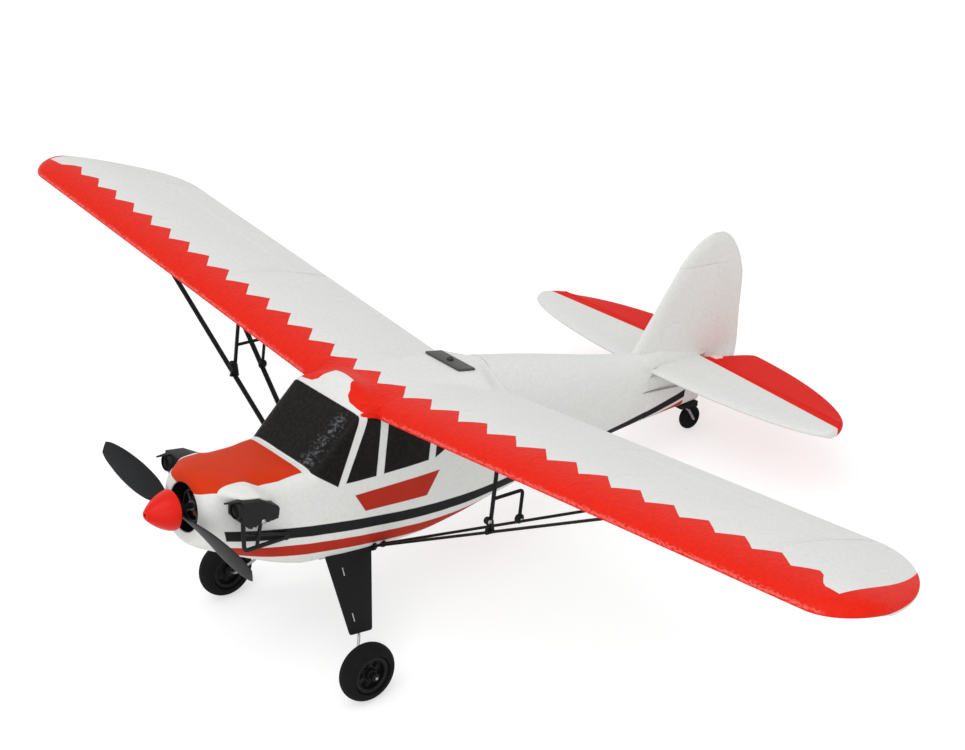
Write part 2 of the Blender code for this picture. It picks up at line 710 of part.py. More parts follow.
def make_rudder():
    rings = []
    for z, reach in RUDDER_ROWS + ((FIN_SPLIT_Z, 0.0305),):
        ring = hinged_ring(RUDDER_HINGE_Y, RUDDER_HINGE_Y + reach)
        rings.append([(x, y, z) for y, x in ring])
    overhang = RUDDER_HINGE_Y - fin_front(FIN_SPLIT_Z)
    for share, front, reach in BALANCE_ROWS:
        z = FIN_SPLIT_Z + RUN + (RUDDER_TOP_Z - FIN_SPLIT_Z - RUN) * share
        ring = fixed_ring(RUDDER_HINGE_Y - overhang * front, RUDDER_HINGE_Y + reach)
        thin = 1.0 - 0.6 * share ** 3
        rings.append([(x * thin, y, z) for y, x in ring])
    add("rudder", loft(rings), (0.88, 0.88, 0.87), 0.7, pivot=(0, RUDDER_HINGE_Y, 0))


def make_horns():
    top = STAB_Z - TAIL_RADIUS - GAP
    tip = rod_z()
    outline = [(0, ELEVATOR_HINGE_Y, top), (0, ELEVATOR_HINGE_Y - ARM_BOSS, tip - ARM_BOSS),
               (0, ELEVATOR_HINGE_Y + ARM_BOSS, tip - ARM_BOSS), (0, ELEVATOR_HINGE_Y + 2 * ARM_WIDTH, top)]
    middle = ROD_SIDE - ROD_RADIUS - GAP - HORN_THICKNESS / 2
    add("elevator_horn", slab(outline, HORN_THICKNESS, middle, X_AXIS), (0.9, 0.9, 0.88), 0.4,
        pivot=(0, ELEVATOR_HINGE_Y, STAB_Z))
    face = -TAIL_RADIUS - GAP
    end = -ROD_SIDE - ARM_BOSS
    outline = [(face, RUDDER_HINGE_Y - ARM_BOSS, 0), (face, RUDDER_HINGE_Y + 2 * ARM_WIDTH, 0),
               (end, RUDDER_HINGE_Y + ARM_BOSS, 0), (end, RUDDER_HINGE_Y - ARM_BOSS, 0)]
    middle = rod_z() - ROD_RADIUS - GAP - HORN_THICKNESS / 2
    add("rudder_horn", slab(outline, HORN_THICKNESS, middle, Z_AXIS), (0.9, 0.9, 0.88), 0.4,
        pivot=(0, RUDDER_HINGE_Y, 0))


# Struts

def strut_line(side, y_root, y_top, span):
    """Both ends of a strut: at the belly plate's edge and just below the wing."""
    along = (span - CENTRE_HALF) / math.cos(DIHEDRAL)
    lean = STRUT_RADIUS * 1.2
    head = panel_point(side, along, y_top, wing_under(along, y_top) - GAP - lean)
    foot_z = BELLY_Z - GAP - BELLY_PLATE_THICKNESS / 2
    foot = Vector((side * (BELLY_PLATE_HALF + GAP + lean), y_root, foot_z))
    return foot, head


def strut_at(line, x):
    foot, head = line
    return foot + (head - foot) * ((abs(x) - abs(foot.x)) / (abs(head.x) - abs(foot.x)))


def make_struts(label, side):
    middle = STRUT_FRONT_Y
    front = strut_line(side, middle - STRUT_ROOT_SPREAD / 2, STRUT_FRONT_Y, STRUT_SPAN)
    rear = strut_line(side, middle + STRUT_ROOT_SPREAD / 2, STRUT_REAR_Y, STRUT_REAR_SPAN)
    for name, line in (("front", front), ("rear", rear)):
        add(f"strut_{name}_{label}", tube(line, STRUT_RADIUS, 10), (0.03, 0.03, 0.035), 0.45)
    slope = (front[1].z - front[0].z) / (abs(front[1].x) - abs(front[0].x))
    lift = STRUT_RADIUS * math.hypot(1, slope) + GAP + slope * JURY_WIDTH / 2
    on_front = strut_at(front, JURY_SPAN)
    on_rear = strut_at(rear, JURY_SPAN)
    along = (JURY_SPAN - CENTRE_HALF) / math.cos(DIHEDRAL)
    wing_z = panel_point(side, along, on_front.y, wing_under(along, on_front.y)).z
    wing_z -= GAP + math.tan(DIHEDRAL) * JURY_WIDTH
    half = JURY_WIDTH / 2
    y0, y1 = on_front.y, on_rear.y
    bar = JURY_BAR_Z
    points = [(y0 - half, on_front.z + lift), (y0 + half, on_front.z + lift), (y0 + half, bar - half),
              (y1 - half, bar - half), (y1 - half, on_rear.z + lift), (y1 + half, on_rear.z + lift),
              (y1 + half, bar + half), (y0 + half, bar + half), (y0 + half, wing_z), (y0 - half, wing_z)]
    outline = [(0, y, z) for y, z in points]
    add(f"jury_strut_{label}", slab(outline, JURY_WIDTH, side * JURY_SPAN, X_AXIS), (0.03, 0.03, 0.035), 0.45)


# Undercarriage

def wire_z():
    return BELLY_Z - GAP - WIRE_RADIUS - GAP


def make_belly_plate():
    top = BELLY_Z - GAP
    low = top - BELLY_PLATE_THICKNESS
    groove = WIRE_RADIUS + GAP
    bed = wire_z() - groove
    points = [(BELLY_PLATE_FRONT, top), (GEAR_Y - groove, top), (GEAR_Y - groove, bed), (GEAR_Y + groove, bed),
              (GEAR_Y + groove, top), (BELLY_PLATE_REAR, top), (BELLY_PLATE_REAR, low),
              (BELLY_PLATE_FRONT, low)]
    outline = [(0, y, z) for y, z in points]
    add("belly_plate", slab(outline, 2 * BELLY_PLATE_HALF, 0, X_AXIS), (0.03, 0.03, 0.035), 0.45)


def leg_points(side):
    """The undercarriage wire of one side, from the belly to the end of the axle."""
    end = TRACK_HALF + HUB_WIDTH / 2 + COLLAR_LENGTH + 2 * GAP + 0.001
    elbow = TRACK_HALF - HUB_WIDTH / 2 - 0.006
    mid = Vector((side * LEG_MID[0], LEG_MID[1], LEG_MID[2]))
    return [Vector((side * LEG_TOP_HALF, GEAR_Y, wire_z())), mid, Vector((side * elbow, AXLE_Y, AXLE_Z)),
            Vector((side * end, AXLE_Y, AXLE_Z))]


def make_gear_wire():
    right = leg_points(-1)
    add("gear_wire", tube(list(reversed(right)) + leg_points(1), WIRE_RADIUS), (0.7, 0.7, 0.72), 0.3, 1.0)


def make_fairing(label, side):
    top, foot = leg_points(side)[:2]
    run = (foot - top).normalized()
    out = run.cross(Y_AXIS) * side
    out = out.normalized() if out.x * side > 0 else -out.normalized()
    top = top - run * FAIRING_RISE
    outline = [top - Y_AXIS * FAIRING_TOP_WIDTH / 2, top + Y_AXIS * FAIRING_TOP_WIDTH / 2,
               foot + Y_AXIS * FAIRING_FOOT_WIDTH / 2, foot - Y_AXIS * FAIRING_FOOT_WIDTH / 2]
    middle = WIRE_RADIUS + GAP + FAIRING_THICKNESS / 2
    add(f"gear_fairing_{label}", slab(outline, FAIRING_THICKNESS, middle, out), (0.03, 0.03, 0.035), 0.5)


def make_wheel(label, side):
    centre = (side * TRACK_HALF, AXLE_Y, AXLE_Z)
    half = WHEEL_WIDTH / 2
    bead = HUB_RADIUS + GAP
    shoulder = WHEEL_RADIUS - half * 0.55
    tread = [(bead, -half * 0.75), (shoulder, -half), (WHEEL_RADIUS - half * 0.15, -half * 0.6),
             (WHEEL_RADIUS, -half * 0.2), (WHEEL_RADIUS, half * 0.2), (WHEEL_RADIUS - half * 0.15, half * 0.6),
             (shoulder, half), (bead, half * 0.75)]
    add(f"tyre_{label}", turned(tread, centre, X_AXIS, closed=True), (0.02, 0.02, 0.022), 0.8, pivot=centre)
    bore = WIRE_RADIUS + AXLE_FIT
    rim = HUB_WIDTH / 2
    disc = [(bore, -rim), (HUB_RADIUS * 0.3, -rim), (HUB_RADIUS * 0.3, -rim * 0.45), (HUB_RADIUS * 0.82, -rim * 0.45),
            (HUB_RADIUS * 0.82, -rim * 0.85), (HUB_RADIUS, -rim * 0.85), (HUB_RADIUS, rim * 0.85),
            (HUB_RADIUS * 0.82, rim * 0.85), (HUB_RADIUS * 0.82, rim * 0.45), (HUB_RADIUS * 0.3, rim * 0.45),
            (HUB_RADIUS * 0.3, rim), (bore, rim)]
    add(f"hub_{label}", turned(disc, centre, X_AXIS, closed=True, sides=20), (0.025, 0.025, 0.027), 0.4, pivot=centre)
    start = rim + GAP
    collar = [(bore, start), (COLLAR_RADIUS, start), (COLLAR_RADIUS, start + COLLAR_LENGTH),
              (bore, start + COLLAR_LENGTH)]
    add(f"wheel_collar_{label}", turned(collar, centre, X_AXIS * side, closed=True, sides=12), (0.6, 0.6, 0.62), 0.3, 1.0)


# Tail wheel

def make_tail_wheel():
    front = TAIL_PIVOT_Y - TAIL_BRACKET_LENGTH / 2
    rear = TAIL_PIVOT_Y + TAIL_BRACKET_LENGTH / 2
    low = body_at(front).bottom - GAP - TAIL_BRACKET_THICKNESS
    points = [(front, body_at(front).bottom - GAP), (rear, body_at(rear).bottom - GAP), (rear, low), (front, low)]
    bracket = add("tail_wheel_bracket", slab([(0, y, z) for y, z in points], 2 * TAIL_BRACKET_HALF, 0, X_AXIS),
                  (0.03, 0.03, 0.035), 0.5)
    bore = WIRE_RADIUS + AXLE_FIT
    hole = tube([(0, TAIL_PIVOT_Y, low - 0.01), (0, TAIL_PIVOT_Y, low + 0.02)], bore, 12)
    combine(bracket, add("tail_pivot_hole", hole, (0, 0, 0)), "DIFFERENCE")
    half = TAIL_WHEEL_WIDTH / 2
    beside = half + GAP + WIRE_RADIUS + 0.0005
    top = body_at(TAIL_PIVOT_Y).bottom - 3 * GAP
    leg = [(0, TAIL_PIVOT_Y, top), (0, TAIL_PIVOT_Y, low - 0.001), (beside, TAIL_PIVOT_Y + 0.001, low - 0.0025),
           (beside, TAIL_WHEEL_Y, TAIL_WHEEL_Z), (-half - 0.002, TAIL_WHEEL_Y, TAIL_WHEEL_Z)]
    add("tail_wheel_leg", tube(leg, WIRE_RADIUS), (0.7, 0.7, 0.72), 0.3, 1.0, pivot=(0, TAIL_PIVOT_Y, low))
    radius = TAIL_WHEEL_RADIUS
    profile = [(bore, -half), (radius * 0.75, -half), (radius, -half * 0.4), (radius, half * 0.4),
               (radius * 0.75, half), (bore, half)]
    centre = (0, TAIL_WHEEL_Y, TAIL_WHEEL_Z)
    add("tail_wheel", turned(profile, centre, X_AXIS, closed=True, sides=20), (0.02, 0.02, 0.022), 0.7, pivot=centre)


# Power

def mount_front_y():
    return BELL_FRONT_Y + BELL_LENGTH + 0.004


def make_motor():
    front = mount_front_y()
    rings = []
    for y in (front, front + MOUNT_THICKNESS):
        hollow = cavity_at(y)
        rings.append(full_ring(hollow._replace(half=hollow.half - 3 * GAP, top=hollow.top - 3 * GAP,
                                               bottom=hollow.bottom + 3 * GAP)))
    mount = add("motor_mount", loft(rings), (0.55, 0.4, 0.25), 0.7)
    hole = tube([(0, front - 0.01, THRUST_Z), (0, front + 0.02, THRUST_Z)], SHAFT_RADIUS * 2, 12)
    combine(mount, add("mount_hole", hole, (0, 0, 0)), "DIFFERENCE")
    axis = (0, 0, THRUST_Z)
    base = -front + GAP
    core = [(0, base), (BELL_RADIUS - BELL_WALL, base), (BELL_RADIUS - BELL_WALL, base + 0.003),
            (STATOR_RADIUS, base + 0.004), (STATOR_RADIUS, -BELL_FRONT_Y - BELL_WALL - RUN),
            (0, -BELL_FRONT_Y - BELL_WALL - RUN)]
    add("motor_stator", turned(core, axis, -Y_AXIS, sides=20), (0.55, 0.3, 0.12), 0.5, 0.6)
    lip = -BELL_FRONT_Y - BELL_LENGTH + 0.001
    inner = BELL_RADIUS - BELL_WALL
    shaft_end = -SPINNER_BASE_Y - GAP
    cup = [(0, -BELL_FRONT_Y - BELL_WALL), (inner, -BELL_FRONT_Y - BELL_WALL), (inner, lip), (BELL_RADIUS, lip),
           (BELL_RADIUS, -BELL_FRONT_Y), (SHAFT_RADIUS, -BELL_FRONT_Y), (SHAFT_RADIUS, shaft_end), (0, shaft_end)]
    add("motor_bell", turned(cup, axis, -Y_AXIS, sides=20), (0.2, 0.2, 0.22), 0.35, 0.9, pivot=axis)


def make_propeller():
    rear_y = SPINNER_BASE_Y + GAP + PROP_HUB_LENGTH
    middle_y = rear_y - PROP_HUB_LENGTH / 2
    rows = ((0.02, 0.36, 46, 0.0040), (0.16, 0.46, 44, 0.0036), (0.32, 0.82, 34, 0.0030), (0.52, 1.0, 24, 0.0024),
            (0.72, 0.97, 18, 0.0018), (0.86, 0.82, 14, 0.0014), (0.95, 0.64, 13, 0.0012), (1.0, 0.44, 12, 0.0010))
    axis = (0, 0, THRUST_Z)
    hub = [(0, -rear_y), (PROP_HUB_RADIUS, -rear_y), (PROP_HUB_RADIUS, -rear_y + PROP_HUB_LENGTH),
           (0, -rear_y + PROP_HUB_LENGTH)]
    propeller = add("propeller", turned(hub, axis, -Y_AXIS), (0.06, 0.065, 0.075), 0.5, pivot=axis)
    for number in range(2):
        rings = []
        for share, width, pitch, thick in rows:
            turn = math.radians(pitch)
            half = PROP_CHORD * width / 2
            ring = []
            for along, up in ((1, 0), (0.35, 1), (-0.5, 0.9), (-1, 0), (-0.5, -0.35), (0.35, -0.4)):
                a, b = along * half, up * thick / 2
                ring.append((share * PROP_RADIUS, middle_y - a * math.sin(turn) - b * math.cos(turn),
                             a * math.cos(turn) - b * math.sin(turn)))
            rings.append(ring)
        blade = loft(rings)
        rest = Matrix.Translation(axis) @ Matrix.Rotation(PROP_REST + math.pi * number, 4, "Y")
        bmesh.ops.transform(blade, matrix=rest, verts=blade.verts)
        combine(propeller, add(f"blade_{number}", blade, (0, 0, 0)), "UNION")
    bore = tube([(0, rear_y + 0.01, THRUST_Z), (0, SPINNER_BASE_Y - 0.01, THRUST_Z)], SHAFT_RADIUS + GAP, 16)
    combine(propeller, add("prop_bore", bore, (0, 0, 0)), "DIFFERENCE")
    length = SPINNER_BASE_Y - SPINNER_TIP_Y
    cone = [(0, -SPINNER_BASE_Y)]
    for share in (0.0, 0.12, 0.3, 0.5, 0.7, 0.86, 0.96, 1.0):
        radius = SPINNER_RADIUS * (0.12 + 0.88 * (1 - share ** 1.9) ** 0.8)
        cone.append((radius, -SPINNER_BASE_Y + share * length))
    cone.append((0, -SPINNER_TIP_Y))
    add("spinner", turned(cone, axis, -Y_AXIS), (0.8, 0.03, 0.02), 0.25, pivot=axis)


# Dummy engine and its exhaust

def make_engine(label, side):
    front, rear = ENGINE_FRONT_Y, ENGINE_FRONT_Y + ENGINE_LENGTH
    top, low = ENGINE_TOP_Z, ENGINE_TOP_Z - ENGINE_HEIGHT
    chin, heel = 0.0085, 0.005       # how far the underside rises at the front and at the rear
    lowest = ENGINE_LENGTH * 0.25
    points = [(front, top), (front + ENGINE_LENGTH / 2, top - 0.002), (rear, top - 0.0105), (rear, low + heel),
              (front + lowest, low), (front, low + chin)]
    inner = [(side * STATIONS[0].half, y, z) for y, z in points]
    outer = [(side * ENGINE_OUTER, y, z) for y, z in points]
    engine = add(f"dummy_engine_{label}", loft([inner, outer]), (0.03, 0.03, 0.032), 0.55)
    rings = []
    for station in STATIONS[:6]:
        rings.append(full_ring(station._replace(half=station.half + GAP)))
    combine(engine, add(f"engine_seat_{label}", loft(rings), (0, 0, 0)), "DIFFERENCE")
    x = side * (ENGINE_OUTER - 2 * PIPE_RADIUS)
    y = front + 2 * PIPE_RADIUS
    bottom = low - PIPE_DROP
    tail = body_at(rear + PIPE_REACH)
    end_z = bottom
    end = Vector((side * (half_width(tail, end_z) + RUN + 1.6 * PIPE_RADIUS), tail.y, end_z))
    rise = chin * (1 - (y + PIPE_RADIUS - front) / lowest)
    start = Vector((x, y, low + rise - GAP))
    corner = Vector((x, y, bottom))
    pipe = add(f"exhaust_{label}", tube([start, corner, end], PIPE_RADIUS), (0.03, 0.03, 0.032), 0.5)
    post_y = front + ENGINE_LENGTH * POST_SHARE
    under = low + heel * (post_y - PIPE_RADIUS - front - lowest) / (ENGINE_LENGTH - lowest)
    on_pipe = corner + (end - corner) * ((post_y - y) / (end.y - y))
    post = tube([(on_pipe.x, post_y, on_pipe.z), (on_pipe.x, post_y, under - GAP)], PIPE_RADIUS * 0.8)
    combine(pipe, add(f"exhaust_post_{label}", post, (0, 0, 0)), "UNION")


# Inside the cabin

def rod_z():
    return TRAY_Z + TRAY_THICKNESS + GAP + SERVO[2] + GAP + ARM_THICKNESS + GAP + ROD_RADIUS


def make_inside():
    half, length, height = BATTERY[0] / 2, BATTERY[1], BATTERY[2]
    floor = FLOOR_Z + GAP
    add("battery", box((-half, BATTERY_FRONT_Y, floor), (half, BATTERY_FRONT_Y + length, floor + height)),
        (0.05, 0.15, 0.4), 0.4)
    half, length, height = BOARD[0] / 2, BOARD[1], BOARD[2]
    add("control_board", box((-half, BOARD_FRONT_Y, floor), (half, BOARD_FRONT_Y + length, floor + height)),
        (0.05, 0.25, 0.1), 0.5)
    rings = []
    for z in (TRAY_Z, TRAY_Z + TRAY_THICKNESS):
        widths = [(y, facet_width(cavity_at(y), z) - GAP) for y in (TRAY_FRONT_Y, TRAY_REAR_Y)]
        (y0, w0), (y1, w1) = widths
        rings.append([(-w0, y0, z), (w0, y0, z), (w1, y1, z), (-w1, y1, z)])
    add("servo_tray", loft(rings), (0.7, 0.5, 0.3), 0.7)
    base = TRAY_Z + TRAY_THICKNESS + GAP
    for name, side, y_end in (("elevator", 1, ELEVATOR_HINGE_Y), ("rudder", -1, RUDDER_HINGE_Y)):
        pivot_x = side * (ROD_SIDE + ARM_LENGTH)
        pivot_y = SERVO_FRONT_Y + SERVO[0] / 2
        half = SERVO[0] / 2
        add(f"{name}_servo", box((pivot_x - half, SERVO_FRONT_Y, base),
                                 (pivot_x + half, SERVO_FRONT_Y + SERVO[1], base + SERVO[2])), (0.1, 0.16, 0.35), 0.4)
        arm_z = base + SERVO[2] + GAP + ARM_THICKNESS / 2
        outline = arm_outline((pivot_x, pivot_y), (side * ROD_SIDE, pivot_y), ARM_BOSS, ARM_BOSS * 0.7)
        add(f"{name}_arm", slab([(x, y, 0) for x, y in outline], ARM_THICKNESS, arm_z, Z_AXIS), (0.9, 0.9, 0.88), 0.4,
            pivot=(pivot_x, pivot_y, arm_z))
        rod = tube([(side * ROD_SIDE, pivot_y - ARM_BOSS, rod_z()), (side * ROD_SIDE, y_end + ARM_BOSS, rod_z())],
                   ROD_RADIUS)
        add(f"{name}_pushrod", rod, (0.75, 0.75, 0.77), 0.3, 1.0, pivot=(side * ROD_SIDE, pivot_y, rod_z()))


# Standing on the wheels

def stance():
    """Nose-up angle at which both main wheels and the tail wheel touch the ground."""
    run = TAIL_WHEEL_Y - AXLE_Y
    rise = TAIL_WHEEL_Z - AXLE_Z
    return math.atan2(rise, run) + math.asin((WHEEL_RADIUS - TAIL_WHEEL_RADIUS) / math.hypot(run, rise))


def stand(airframe):
    """Pitch the airframe and bring its lowest point and the middle of its length to the origin."""
    airframe.rotation_euler = (-stance(), 0, 0)
    bpy.context.view_layer.update()
    view = bpy.context.evaluated_depsgraph_get()
    corners = []
    for piece in airframe.children:
        if not piece.hide_render:
            solid = piece.evaluated_get(view)
            corners += [solid.matrix_world @ vertex.co for vertex in solid.data.vertices]
    ends = [corner.y for corner in corners]
    airframe.location = (0, -(min(ends) + max(ends)) / 2, -min(corner.z for corner in corners))


def main():
    clear_scene()
    airframe = bpy.data.objects.new("airframe", None)
    bpy.context.scene.collection.objects.link(airframe)
    make_wing()
    make_hold_plate()
    make_fuselage()
    make_stabilizer()
    make_joiner()
    make_fin()
    make_rudder()
    make_horns()
    make_belly_plate()
    make_gear_wire()
    make_tail_wheel()
    make_motor()
    make_propeller()
    make_inside()
    for label, side in (("left", 1), ("right", -1)):
        make_aileron(f"aileron_{label}", side)
        make_wing_drive(label, side)
        make_elevator(f"elevator_{label}", side)
        make_struts(label, side)
        make_fairing(label, side)
        make_wheel(label, side)
        make_engine(label, side)
    stand(airframe)


main()
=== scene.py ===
"""Looks of the foam radio-controlled aeroplane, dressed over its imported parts.

Pieces are drawn in level aircraft axes, in metres: the origin is the wing's leading edge on the centre line,
+X is the left wing, +Y runs aft and +Z is up. STAND then sets them on the model as it rests on its wheels.
Paint is laid out in the same axes, in millimetres.
"""
import json
from collections import namedtuple
from math import asin, cos, degrees, exp, hypot, pi, radians, sin, sqrt, tan, tau

import bmesh
import bpy
from mathutils import Matrix, Vector


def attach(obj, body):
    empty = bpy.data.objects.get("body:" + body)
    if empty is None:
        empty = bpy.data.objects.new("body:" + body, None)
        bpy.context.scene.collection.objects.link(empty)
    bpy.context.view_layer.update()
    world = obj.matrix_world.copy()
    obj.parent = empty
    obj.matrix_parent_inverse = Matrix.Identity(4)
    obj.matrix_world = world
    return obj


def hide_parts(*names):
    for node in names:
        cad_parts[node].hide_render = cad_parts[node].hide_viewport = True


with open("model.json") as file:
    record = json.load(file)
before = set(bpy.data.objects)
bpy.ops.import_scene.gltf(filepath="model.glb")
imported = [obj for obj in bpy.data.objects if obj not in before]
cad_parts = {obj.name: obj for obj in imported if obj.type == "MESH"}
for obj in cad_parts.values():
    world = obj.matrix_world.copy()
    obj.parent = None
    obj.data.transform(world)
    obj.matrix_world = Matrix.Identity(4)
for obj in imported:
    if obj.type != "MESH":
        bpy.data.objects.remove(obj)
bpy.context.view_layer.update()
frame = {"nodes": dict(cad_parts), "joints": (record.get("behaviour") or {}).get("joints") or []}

GAP = 0.0003             # between pieces that touch
RUN = 0.0005             # between a moving edge and its neighbour
STEP = 0.0002

# Wing
SPAN = 1.100
CHORD = 0.146
WING_THICKNESS = 0.019
LEADING_EDGE_RISE = 0.0036
TRAILING_EDGE = 0.0014
DIHEDRAL = radians(5.15)
CENTRE_HALF = 0.048
TIP_WIDEST_Y = 0.045
TIP_FRONT_DEPTH = 0.035
TIP_REAR_DEPTH = 0.095
TIP_ROUND = 1.83         # 2 for an ellipse
DECK_HEIGHT = 0.0178
DECK_FLAT = 0.024        # half width of the deck's level part
DECK_EDGE = 0.062
DECK_SPINE = 0.048       # half width where the deck runs into the fuselage's back
APRON = 0.0165           # how far the wing's brow reaches ahead of its leading edge
APRON_FLAT = 0.043
BROW_TOP = 0.0250        # crest of the roof's brow in front of the wing
BROW_HALF = 0.056
BROW_ROUND = 1.1
BROW_BACK = 0.028        # where it has sunk into the wing
AILERON_HINGE_Y = 0.1085
AILERON_INNER = 0.180
AILERON_OUTER = 0.408
PLATE = (0.047, 0.0155, 0.002)
PLATE_FRONT_Y = 0.106
PLATE_SHEAR = 0.0018     # slant of the plate's ends

# Fuselage
SADDLE_Z = -0.0012
BELLY_Z = -0.124
CABIN_HALF = 0.047
NOSE_Y = -0.150
NOSE_BORE = 0.020
BORE_END_Y = -0.118
WINDSCREEN_FOOT_Y = -0.0575
WINDSCREEN_HEAD_Y = -0.017
ROOF_Z = 0.009
TAIL_STEP_Y = 0.3495
TAIL_END_Y = 0.428
THRUST_Z = -0.066
THRUST_LINE = Vector((0, 0, THRUST_Z))

# Tail
STAB_HALF = 0.1975
STAB_WIDEST_Y = 0.397
STAB_FRONT = 0.0465
STAB_REAR = 0.085
STAB_Z = -0.025
TAIL_RADIUS = 0.004
TAIL_EDGE = 0.0007
ELEVATOR_HINGE_Y = 0.421
ELEVATOR_ROOT = 0.007
ELEVATOR_TIP = 0.188
ELEVATOR_SLOPE = 4.5     # of its inner edge
ELEVATOR_CORNER = 0.030
COVE_GAP = 0.0004        # round a moving nose in its hollow
COVE_STEPS = 8
RUDDER_HINGE_Y = 0.4335
RUDDER_FOOT_Z = -0.062
RUDDER_TOP_Z = 0.0997
FIN_SPLIT_Z = 0.0698
FIN_FOOT_Y = 0.340
FIN_SWEEP = 0.625

# Struts and undercarriage
STRUT_RADIUS = 0.0016
STRUT_FOOT = (0.0400, -0.1195)   # across and up
STRUT_CHORD = 0.0048
STRUT_THICKNESS = 0.0024
STRUT_SPAN = 0.311
STRUT_REAR_SPAN = 0.296
STRUT_FRONT_Y = 0.019
STRUT_REAR_Y = 0.066
STRUT_ROOT_SPREAD = 0.009
JURY_SPAN = 0.182
JURY_WIDTH = 0.003
JURY_BAR_Z = -0.0155
WIRE_RADIUS = 0.00125
WHEEL_RADIUS = 0.026
WHEEL_WIDTH = 0.021
HUB_RADIUS = 0.0170
HUB_WIDTH = 0.0165
TRACK_HALF = 0.106
AXLE_Y = -0.0305
AXLE_Z = -0.195
GEAR_Y = -0.012
LEG_TOP_HALF = 0.044
LEG_MID = (0.077, -0.019, -0.176)
BELLY_PLATE_HALF = 0.032
BELLY_PLATE_FRONT = -0.034
BELLY_PLATE_REAR = 0.030
BELLY_PLATE_THICKNESS = 0.006
BELLY_PLATE_STEPS = (    # half width, half length, drop and middle of its outlines from top to foot
    (0.031, 0.0315, 0.0, -0.002), (0.030, 0.0300, 0.0022, -0.0015), (0.019, 0.0240, 0.006, 0.003))
FAIRING_TOP_WIDTH = 0.048
FAIRING_FOOT_WIDTH = 0.0225
FAIRING_THICKNESS = 0.002
FAIRING_RISE = 0.009
TAIL_WHEEL_RADIUS = 0.012
TAIL_WHEEL_WIDTH = 0.007
TAIL_WHEEL_Y = 0.426
TAIL_WHEEL_Z = -0.088

# Power
SPINNER_RADIUS = 0.0170
SPINNER_TIP_Y = -0.1858
SPINNER_BASE_Y = -0.1618
PROP_RADIUS = 0.1125
PROP_HUB_RADIUS = 0.0085
PROP_HUB_LENGTH = 0.0072
PROP_CHORD = 0.0235
PROP_REST = radians(4.8)
SHAFT_RADIUS = 0.0025
BELL_RADIUS = 0.0145
BELL_LENGTH = 0.026
BELL_FRONT_Y = -0.142
ENGINE_OUTER = 0.058
ENGINE_FRONT_Y = -0.135
ENGINE_LENGTH = 0.038
ENGINE_TOP_Z = -0.0415
ENGINE_HEIGHT = 0.0245
PIPE_RADIUS = 0.0022
BLISTER_DEPTH = {1: 0.0205, -1: 0.0060}    # on the left and on the right
BLISTER_SPREAD = (0.0046, 0.0058)    # above and below its ridge
PIPE_DROP = 0.0212
PIPE_REACH = 0.017       # behind the engine
POST_SHARE = 0.6         # where the middle post stands along the engine

STRIP_POWER = 3.5        # squareness of a flat bar's section
X_AXIS, Y_AXIS, Z_AXIS = Vector((1, 0, 0)), Vector((0, 1, 0)), Vector((0, 0, 1))
SIDES = (("left", 1), ("right", -1))


def joint(name):
    return next(row for row in frame["joints"] if row["name"] == name)


AFT = Vector(joint("propeller_spin")["axis"]).normalized()
UP = Vector(joint("rudder_hinge")["axis"]).normalized()
ORIGIN = Vector(joint("propeller_spin")["pos_m"]) - UP * THRUST_Z
STAND = Matrix.Translation(ORIGIN) @ Matrix((X_AXIS, AFT, UP)).transposed().to_4x4()


# Forms

def skin(around, along, place):
    """A closed skin: place(i, j) is point i of section j. Open ends are filled."""
    shape = bmesh.new()
    bmesh.ops.create_grid(shape, x_segments=around, y_segments=along, size=1)
    for corner in shape.verts:
        i = round((corner.co.x + 1) / 2 * around)
        j = round((corner.co.y + 1) / 2 * along)
        corner.co = place(i % around, j)
    bmesh.ops.remove_doubles(shape, verts=shape.verts, dist=1e-6)
    bmesh.ops.holes_fill(shape, edges=[edge for edge in shape.edges if edge.is_boundary])
    return shape


def through(rings):
    """A closed skin over rings of points that have the same count."""
    return skin(len(rings[0]), len(rings) - 1, lambda i, j: Vector(rings[j][i]))


def turned(profile, centre, axis, sides=48, closed=False):
    """A form turned about an axis from (radius, distance along the axis) points."""
    shape = bmesh.new()
    points = [shape.verts.new((radius, 0, along)) for radius, along in profile]
    edges = [shape.edges.new(pair) for pair in zip(points, points[1:])]
    if closed:
        edges.append(shape.edges.new((points[-1], points[0])))
    bmesh.ops.spin(shape, geom=points + edges, cent=(0, 0, 0), axis=Z_AXIS, angle=tau, steps=sides,
                   use_merge=True)
    bmesh.ops.remove_doubles(shape, verts=shape.verts, dist=1e-6)
    turn = Z_AXIS.rotation_difference(Vector(axis)).to_matrix().to_4x4()
    bmesh.ops.transform(shape, matrix=Matrix.Translation(centre) @ turn, verts=shape.verts)
    return shape


def wire(points, radius, sides=12):
    """A round bar along a bent line."""
    points = [Vector(point) for point in points]
    runs = [(b - a).normalized() for a, b in zip(points, points[1:])]
    side = runs[0].orthogonal().normalized()
    rings = []
    for i, point in enumerate(points):
        before, after = runs[max(i - 1, 0)], runs[min(i, len(runs) - 1)]
        normal = (before + after).normalized()
        ring = []
        for k in range(sides):
            spoke = Matrix.Rotation(tau * k / sides, 3, before) @ side * radius
            ring.append(point + spoke - before * (spoke.dot(normal) / before.dot(normal)))
        rings.append(ring)
        side = (side - after * side.dot(after)).normalized()
    return through(rings)


def rounded(points, radius, steps=4, loop=False):
    """The same bent line, or closed loop, with its corners rounded."""
    points = [Vector(point) for point in points]
    line = []
    if loop:
        corners = zip(points[-1:] + points[:-1], points, points[1:] + points[:1])
    else:
        corners = zip(points, points[1:], points[2:])
    for before, corner, after in corners:
        reach = min(radius, (before - corner).length * 0.45, (after - corner).length * 0.45)
        start = corner + (before - corner).normalized() * reach
        stop = corner + (after - corner).normalized() * reach
        for k in range(steps + 1):
            t = k / steps
            line.append(start * (1 - t) ** 2 + corner * 2 * t * (1 - t) + stop * t * t)
    return line if loop else [points[0]] + line + [points[-1]]


